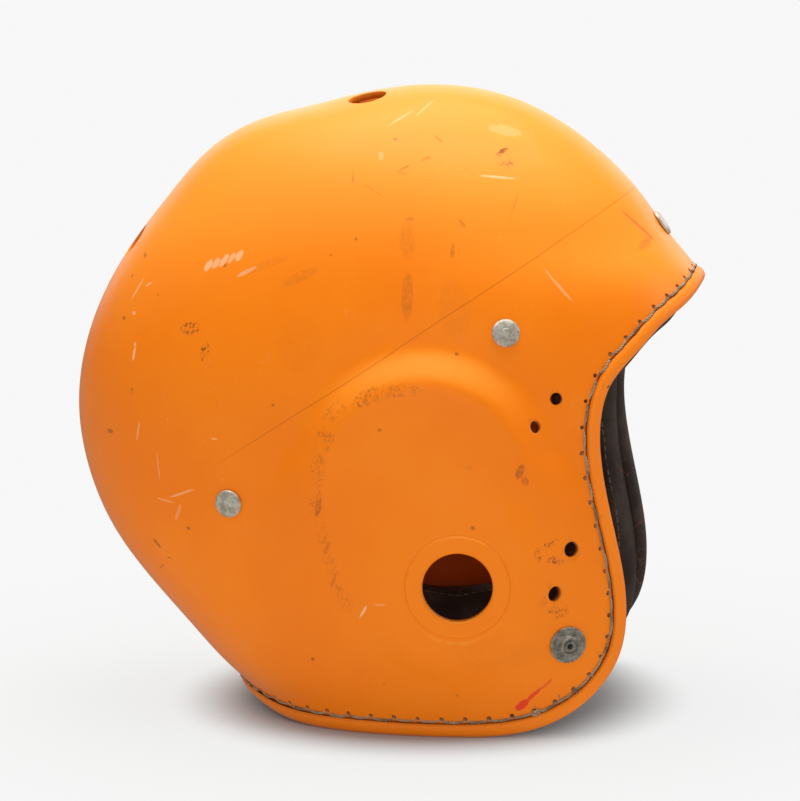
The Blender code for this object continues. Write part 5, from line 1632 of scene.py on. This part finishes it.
class HELMET_OT_suspension(Operator):
    """Hangs the web straps and the sweatband, and sews them together"""

    bl_idname = "helmet.suspension"
    bl_label = "Suspension"

    def execute(self, context):
        sizes, web, hardware = settings(context, "shell", "suspension", "hardware")
        surface = helmet_surface(context)
        straps, band = suspension_lines(surface, web)
        cotton = cloth_material("cotton_webbing", web.web_colour)
        seats = surface.rivet_seats()
        hole = hardware.rivet_shank / 2 + sizes.gap
        stitches = []
        for name, rows in straps.items():
            stations = smooth_curve(rows, STRAP_STEPS)
            mesh = strip_mesh(f"web_strap_{name}_weave", stations, web.web_width, web.web_thickness)
            bore = placed(turned_mesh("bore", [(0, -0.02), (hole, -0.02), (hole, 0.006), (0, 0.006)], 24), seats[name])
            mesh = drilled(mesh, bore, mesh.name)
            add_piece(context, f"web_strap_{name}_weave", mesh, cotton, "cotton_web", f"web_strap_{name}")
            place, wide, thick, _ = strip_frames(stations)
            inward = facing_in(surface, place, thick)
            for row in FOLD_SEAM_ROWS:
                for across in np.linspace(-0.4, 0.4, 6) * web.web_width:
                    at = place[row] + wide[row] * across + inward[row] * web.web_thickness / 2
                    stitches.append((at, inward[row], wide[row]))
        leather = leather_material("tan_sweatband_leather", web.band_colour, (0.33, 0.17, 0.08), 0.5)
        band_mesh = strip_mesh("sweatband_leather", band, web.band_width, web.band_thickness, True)
        add_piece(context, "sweatband_leather", band_mesh, leather, "tan_leather", "sweatband")
        place, wide, thick, run = strip_frames(band, True)
        inward = facing_in(surface, place, thick)
        travel = travelled(place)
        marks_at = np.arange(0, travel[-1], web.seam_pitch)
        rows = interpolate_rows(marks_at, travel, np.concatenate([place, wide, inward, run], axis=1))
        for edge in (-1, 1):
            level = edge * (web.band_width / 2 - 0.0028)
            for row in rows:
                stitches.append((row[:3] + row[3:6] * level + row[6:9] * web.band_thickness / 2, row[6:9], row[9:]))
        thread = thread_material("suspension_thread", (0.42, 0.34, 0.22))
        seams = grown("suspension_seams", places_mesh(*zip(*stitches)), stitch_tree(), Length=web.seam_pitch * 0.8,
                      Strand=0.0003, Twists=1.5, Bow=0.0, Lift=0.0003, Dip=0.0005, Steps=8, Material=thread)
        add_piece(context, "suspension_seams", seams, thread, "lace_cord")
        return {"FINISHED"}


class HELMET_OT_lace(Operator):
    """Draws the braided lace through the straps at the crown and ties it"""

    bl_idname = "helmet.lace"
    bl_label = "Crown Lace"

    def execute(self, context):
        web = context.scene.helmet_suspension
        surface = helmet_surface(context)
        centre = lace_centre(surface, web)
        headings = [unit((point - centre) * (1, 1, 0)) for point, _ in surface.rivet_seats().values()]
        headings.sort(key=lambda out: math.atan2(out[1], out[0]))
        knots = []
        for out in headings:
            tangent = np.array([-out[1], out[0], 0])
            for along in (-5 / 8, -1 / 4, 1 / 4, 5 / 8):
                knots.append(centre + out * web.lace_ring + tangent * along * web.web_width)
        line = closed_curve(knots, 8)
        path = bpy.data.meshes.new("lace_path")
        path.from_pydata(line.tolist(), [(i, (i + 1) % len(line)) for i in range(len(line))], [])
        cord = thread_material("braided_lace", web.lace_colour)
        braid = grown("crown_lace_braid", path, braid_tree(), Diameter=web.lace, Strand=web.lace * 0.37, Turns=26.0,
                      Steps=520, Material=cord)
        add_piece(context, "crown_lace_braid", braid, cord, "lace_cord", "crown_lace")
        self.tie(context, web, cord, line)
        return {"FINISHED"}

    def tie(self, context, web, cord, line):
        """The knot between two straps, with its two free ends."""
        at = line[np.argmin(np.abs(np.arctan2(line[:, 1], line[:, 0] - line[:, 0].mean()) - math.radians(64)))]
        out = unit((at - line.mean(axis=0)) * (1, 1, 0))
        side = np.cross(out, (0, 0, 1.0))
        loop = knot_loop(at - (0, 0, 0.0015), (side, (0, 0, 1), out), (0.0017, 0.0014, 0.0024), 2.2, 72)
        meshes = [swept_mesh("knot", round_rings(loop, web.lace * 0.44, 10, closed=True), closed=True)]
        for way in (-1, 1):
            knots = [at + side * way * aside - out * back - (0, 0, drop) for aside, back, drop in (
                (0, 0, 0.003), (0.006, 0, 0.008), (0.009, 0, 0.018), (0.008, 0.003, 0.028))]
            meshes.append(swept_mesh("end", round_rings(smooth_curve(knots, 8), web.lace * 0.42, 10), closed=False))
        add_piece(context, "crown_lace_knot", joined("crown_lace_knot", meshes), cord, "lace_cord")


# Pads
def pad_rings(surface, shares, width, thickness, depths, stations, lap, mirrored=False):
    """Rings of a cushion along the shell's edge, with the face that it is stuck down on."""
    alongs, widths = np.array(shares).T
    along = np.linspace(alongs[0], alongs[-1], stations)
    wide = np.interp(along, alongs, widths) * width
    run = (along - alongs[0]) * surface.edge_length
    left = np.minimum(run, run[-1] - run)
    fill = 0.35 + 0.65 * np.sqrt(1 - (1 - np.minimum(left / 0.014, 1))**2)
    across = np.linspace(0, 1, CUSHION_POINTS)
    crown = 0.42 + 0.58 * (1 - np.abs(2 * across - 1)**3)
    seat = depths[0] + (depths[1] - depths[0]) * across
    section = np.concatenate([across, across[::-2]])
    start = -lap(along) * fill
    reach = start[:, None] + (wide - start)[:, None] * section
    points = surface.from_edge(along, reach)
    deep = np.concatenate([seat + thickness * fill[:, None] * crown, np.tile(seat[::-2], (stations, 1))], axis=1)
    rings = points - surface.normal(points) * deep[..., None]
    return rings * (1, -1, 1) if mirrored else rings


def puffed(context, mesh, seat):
    """The cushion as its stuffing presses it out, with the face on its seat held."""
    name = mesh.name
    start = mesh_points(mesh)
    holder = scratch_object(mesh)
    held = holder.vertex_groups.new(name="seat")
    held.add([int(i) for i in np.nonzero(distance_to_line(start, seat) < 0.0006)[0]], 1.0, "REPLACE")
    cloth = holder.modifiers.new("stuffing", "CLOTH")
    rule = cloth.settings
    rule.quality, rule.mass, rule.vertex_group_mass = 5, 0.25, "seat"
    rule.tension_stiffness = rule.compression_stiffness = 12
    rule.shear_stiffness, rule.bending_stiffness = 6, 0.6
    rule.use_pressure, rule.uniform_pressure_force = True, 4.0
    rule.effector_weights.gravity = 0
    cloth.point_cache.frame_start, cloth.point_cache.frame_end = 1, STUFFING_FRAMES
    for frame_number in range(1, STUFFING_FRAMES + 1):
        context.scene.frame_set(frame_number)
    mesh = evaluated_mesh(holder, name)
    context.scene.frame_set(1)
    moved = mesh_points(mesh) - start
    moved *= np.minimum(1, STUFFING_LIMIT / np.maximum(lengths(moved), 1e-9))[:, None]
    mesh.vertices.foreach_set("co", (start + moved).ravel())
    holder = scratch_object(mesh)
    even = holder.modifiers.new("even", "SMOOTH")
    even.factor, even.iterations = 0.5, 2
    finer = holder.modifiers.new("finer", "SUBSURF")
    finer.levels = finer.render_levels = 1
    mesh = evaluated_mesh(holder, name)
    points = mesh_points(mesh)
    points[:, 2] = np.maximum(points[:, 2], LEATHER_FLOOR)
    mesh.vertices.foreach_set("co", points.ravel())
    return mesh


class HELMET_OT_pads(Operator):
    """Stuffs the leather pads at the brow, jaws and nape"""

    bl_idname = "helmet.pads"
    bl_label = "Pads"

    def execute(self, context):
        sizes, welt, web, hardware, pads = settings(context, "shell", "welt", "suspension", "hardware", "pads")
        surface = helmet_surface(context)
        leather = leather_material("dark_pad_leather", pads.colour, (0.12, 0.032, 0.012), 0.45)
        on_welt = sizes.wall / 2 + welt.bead / 2 + pads.seat
        on_rivet = (sizes.wall + web.stand_off + web.web_thickness + 2 * hardware.plate
                    + 2 * sizes.gap + pads.seat)

        def level(along):
            return np.full(len(along), pads.overhang)

        def worn(along):
            return pads.overhang + 0.6 * pads.sag * smooth_step(np.abs(along) / 0.05)

        def sagged(along):
            return pads.overhang + np.interp(along, SAG_PLACES, SAG_SHARES) * pads.sag

        jaw, nape = (pads.jaw_width, JAW_PAD_SHARES, pads.jaw_thickness, on_welt, 100), (
            pads.nape_width, NAPE_PAD_SHARES, pads.nape_thickness, on_welt, 70)
        brow = pads.brow_width, BROW_PAD_SHARES, pads.brow_thickness, on_rivet, 70
        plans = (("jaw_pad_right", *jaw, level, False), ("jaw_pad_left", *jaw, sagged, True),
                 ("brow_pad", *brow, worn, False), ("nape_pad", *nape, level, False))
        thread = thread_material("pad_seam_thread", (0.16, 0.12, 0.09))
        stitches = []
        for name, width, shares, thickness, depth, stations, lap, mirrored in plans:
            rings = pad_rings(surface, shares, width, thickness * 0.9, (on_welt, depth), stations, lap, mirrored)
            seat = rings[:, CUSHION_POINTS:].reshape(-1, 3)
            mesh = puffed(context, swept_mesh(f"{name}_leather", rings, closed=False), seat)
            for row in SEWN_POINTS:
                stitches += self.sewn(mesh, rings[UNSEWN_STATIONS:-UNSEWN_STATIONS, row])
            piece = add_piece(context, f"{name}_leather", mesh, leather, "dark_leather", name, sharp=70)
        self.fold_over(context, surface, sizes, welt, leather)
        seams = grown("pad_seams", places_mesh(*zip(*stitches)), stitch_tree(), Length=0.8 * PAD_STITCH_PITCH,
                      Strand=0.0004, Twists=1.5, Bow=0.0, Lift=0.0003, Dip=0.0006, Steps=8, Material=thread)
        add_piece(context, "pad_seams", seams, thread, "lace_cord")
        return {"FINISHED"}

    def fold_over(self, context, surface, sizes, welt, leather):
        """The left jaw pad's leather, which has worked its way round the welt."""
        along = np.linspace(*FOLD_SPAN, 150)
        edge, outward, across = surface.edge_frames(along)
        profile = welt_profile(sizes, welt)
        order = np.argsort(profile[:, 2])
        rng = np.random.default_rng(11)
        wander = np.convolve(rng.normal(size=len(along) + 24), np.hanning(25) / 5, "valid")
        step = smooth_step((FOLD_STEP - along) / 0.002)
        last = 0.62 + 0.05 * wander + step * 0.20
        flat = pressed(along)
        middle = edge - across * sizes.wall / 2
        rings = []
        for row in range(len(along)):
            at = -1.5 + (last[row] + 1.5) * np.linspace(0, 1, 15)
            lift = 0.0005 + 0.0004 * step[row]
            section = []
            for turn, off in [(t, lift + 0.0009) for t in at] + [(t, lift * 0.3) for t in at[::-1]]:
                place = np.array([np.interp(turn, profile[order, 2], profile[order, k]) for k in (0, 1)])
                place = place * [1 - share * flat[row] for share in PRESSED_SHARES]
                place = place + off * np.array((math.cos(turn), math.sin(turn)))
                section.append(middle[row] + outward[row] * place[0] + across[row] * place[1])
            rings.append(section)
        rings = np.array(rings) * (1, -1, 1)
        rings[..., 2] = np.maximum(rings[..., 2], 0.0002)
        mesh = swept_mesh("jaw_pad_left_fold", rings, closed=False)
        add_piece(context, "jaw_pad_left_fold", mesh, leather, "dark_leather", sharp=50)

    def sewn(self, mesh, line):
        """Stitches where a line over the cushion meets its leather."""
        shape = bmesh.new()
        shape.from_mesh(mesh)
        tree = BVHTree.FromBMesh(shape)
        travel = travelled(line)
        spots = interpolate_rows(np.arange(0, travel[-1], PAD_STITCH_PITCH), travel, line)
        stitches = [(*tree.find_nearest(spot)[:2], run) for spot, run in zip(spots, run_of(spots, False))]
        shape.free()
        return stitches


# Stage
class HELMET_OT_stage(Operator):
    """Sets up the pale floor, the soft lamps and the camera"""

    bl_idname = "helmet.stage"
    bl_label = "Stage"

    def execute(self, context):
        stage = context.scene.helmet_stage
        self.lay_floor(context, stage)
        self.light_room(context, stage)
        yaw, tilt = stage.camera_yaw, stage.camera_height
        look = Vector((-math.sin(yaw) * math.cos(tilt), math.cos(yaw) * math.cos(tilt), -math.sin(tilt)))
        lens = bpy.data.cameras.new("studio_camera")
        lens.sensor_fit, lens.sensor_width, lens.lens = "HORIZONTAL", 36, stage.lens
        camera = bpy.data.objects.new("studio_camera", lens)
        camera.location = Vector(stage.target) - look * stage.camera_distance
        camera.rotation_euler = look.to_track_quat("-Z", "Y").to_euler()
        context.scene.collection.objects.link(camera)
        context.scene.camera = camera
        context.scene.view_settings.view_transform = "Standard"
        return {"FINISHED"}

    def lay_floor(self, context, stage):
        """A broad white sheet that runs out into the same white as the room."""
        mesh = mesh_of("studio_floor", [(-9, -9, 0), (9, -9, 0), (9, 9, 0), (-9, 9, 0)], [(0, 1, 2, 3)])
        material, shader, place = new_material("studio_floor_white")
        tree = place.tree
        set_inputs(shader, Base_Color=stage.floor, Roughness=1.0, Specular_IOR_Level=0.0)
        rim = place.vectors("ADD", (-0.020, 0.008, 0)).vectors("MULTIPLY", (1 / 0.080, 1 / 0.090, 0))
        far = rim.vectors("LENGTH")["Value"]
        glow, dim = (add_node(tree, "ShaderNodeEmission", {"Color": stage.backdrop, "Strength": power})
                     for power in (1.0, 0.30))
        share = ramp(far, 0.95, 1.6) * 0.88 + ramp(far, 1.5, 4.5) * 0.12
        blend = add_node(tree, "ShaderNodeMixShader", {0: share, 1: Value(shader.outputs[0]), 2: glow})
        glossy = add_node(tree, "ShaderNodeLightPath")["Is Glossy Ray"]
        feed(tree.nodes["Material Output"].inputs["Surface"],
             add_node(tree, "ShaderNodeMixShader", {0: glossy, 1: blend, 2: dim}))
        mesh.materials.append(material)
        floor = bpy.data.objects.new("studio_floor", mesh)
        context.scene.collection.objects.link(floor)

    def light_room(self, context, stage):
        """A room that is white behind the helmet and darker in front, with a softbox overhead."""
        world = bpy.data.worlds.new("studio_room")
        context.scene.world = world
        world.use_nodes = True
        tree = world.node_tree
        ray = add_node(tree, "ShaderNodeLightPath")
        axes = split(add_node(tree, "ShaderNodeTexCoord")["Generated"])
        room = ramp(axes["Z"], 0.0, 0.9, stage.room_low, stage.room_high)
        rear = ramp(axes["Y"], 0.55, 0.95, 0.0, stage.gloss_rear) * ramp(axes["Z"], -0.10, 0.15)
        gloss = ramp(axes["Z"], 0.55, 1.0, stage.gloss_low, stage.gloss_high).larger(rear)
        room = ray["Is Glossy Ray"] * (gloss - room) + room
        light = add_node(tree, "ShaderNodeCombineColor", {0: room, 1: room, 2: room})
        feed(tree.nodes["Background"].inputs["Color"], mixed(ray["Is Camera Ray"], light, stage.backdrop))
        lamps = (("softbox_overhead", (0.03, 0.22, 1.44), 1.2, stage.softbox),
                 ("softbox_front", (0.2, -2.6, 0.35), 1.6, stage.front_box),
                 ("softbox_side", (1.7, 0.55, 0.75), 0.9, stage.side_box))
        for name, place, width, power in lamps:
            light = bpy.data.lights.new(name, "AREA")
            light.shape, light.size, light.energy = "DISK", width, power
            lamp = bpy.data.objects.new(name, light)
            lamp.location = place
            lamp.visible_glossy = name == "softbox_side"
            lamp.rotation_euler = (Vector((0, 0, 0.15)) - Vector(place)).to_track_quat("-Z", "Y").to_euler()
            context.scene.collection.objects.link(lamp)


PIECES = (HELMET_OT_shell, HELMET_OT_welt, HELMET_OT_stitching, HELMET_OT_rivets, HELMET_OT_studs,
          HELMET_OT_suspension, HELMET_OT_lace, HELMET_OT_pads, HELMET_OT_stage)


class HELMET_PT_pieces(Panel):
    """Lists the helmet's pieces and their sizes"""

    bl_idname = "HELMET_PT_pieces"
    bl_label = "Football Helmet"
    bl_space_type = "VIEW_3D"
    bl_region_type = "UI"
    bl_category = "Helmet"

    def draw(self, context):
        for name, group in SETTINGS.items():
            box = self.layout.box()
            box.label(text=group.__doc__)
            for key in group.__annotations__:
                box.prop(getattr(context.scene, name), key)
        for piece in PIECES:
            self.layout.operator(piece.bl_idname)


def register():
    for group in SETTINGS.values():
        bpy.utils.register_class(group)
    for name, group in SETTINGS.items():
        setattr(bpy.types.Scene, name, PointerProperty(type=group))
    for operator in (*PIECES, HELMET_PT_pieces):
        bpy.utils.register_class(operator)


def unregister():
    for operator in reversed((*PIECES, HELMET_PT_pieces)):
        bpy.utils.unregister_class(operator)
    for name in SETTINGS:
        delattr(bpy.types.Scene, name)
    for group in reversed(SETTINGS.values()):
        bpy.utils.unregister_class(group)


def main():
    register()
    bpy.ops.helmet.shell()
    bpy.ops.helmet.welt()
    bpy.ops.helmet.stitching()
    bpy.ops.helmet.rivets()
    bpy.ops.helmet.studs()
    bpy.ops.helmet.suspension()
    bpy.ops.helmet.lace()
    bpy.ops.helmet.pads()
    bpy.ops.helmet.stage()


if __name__ == "__main__":
    main()
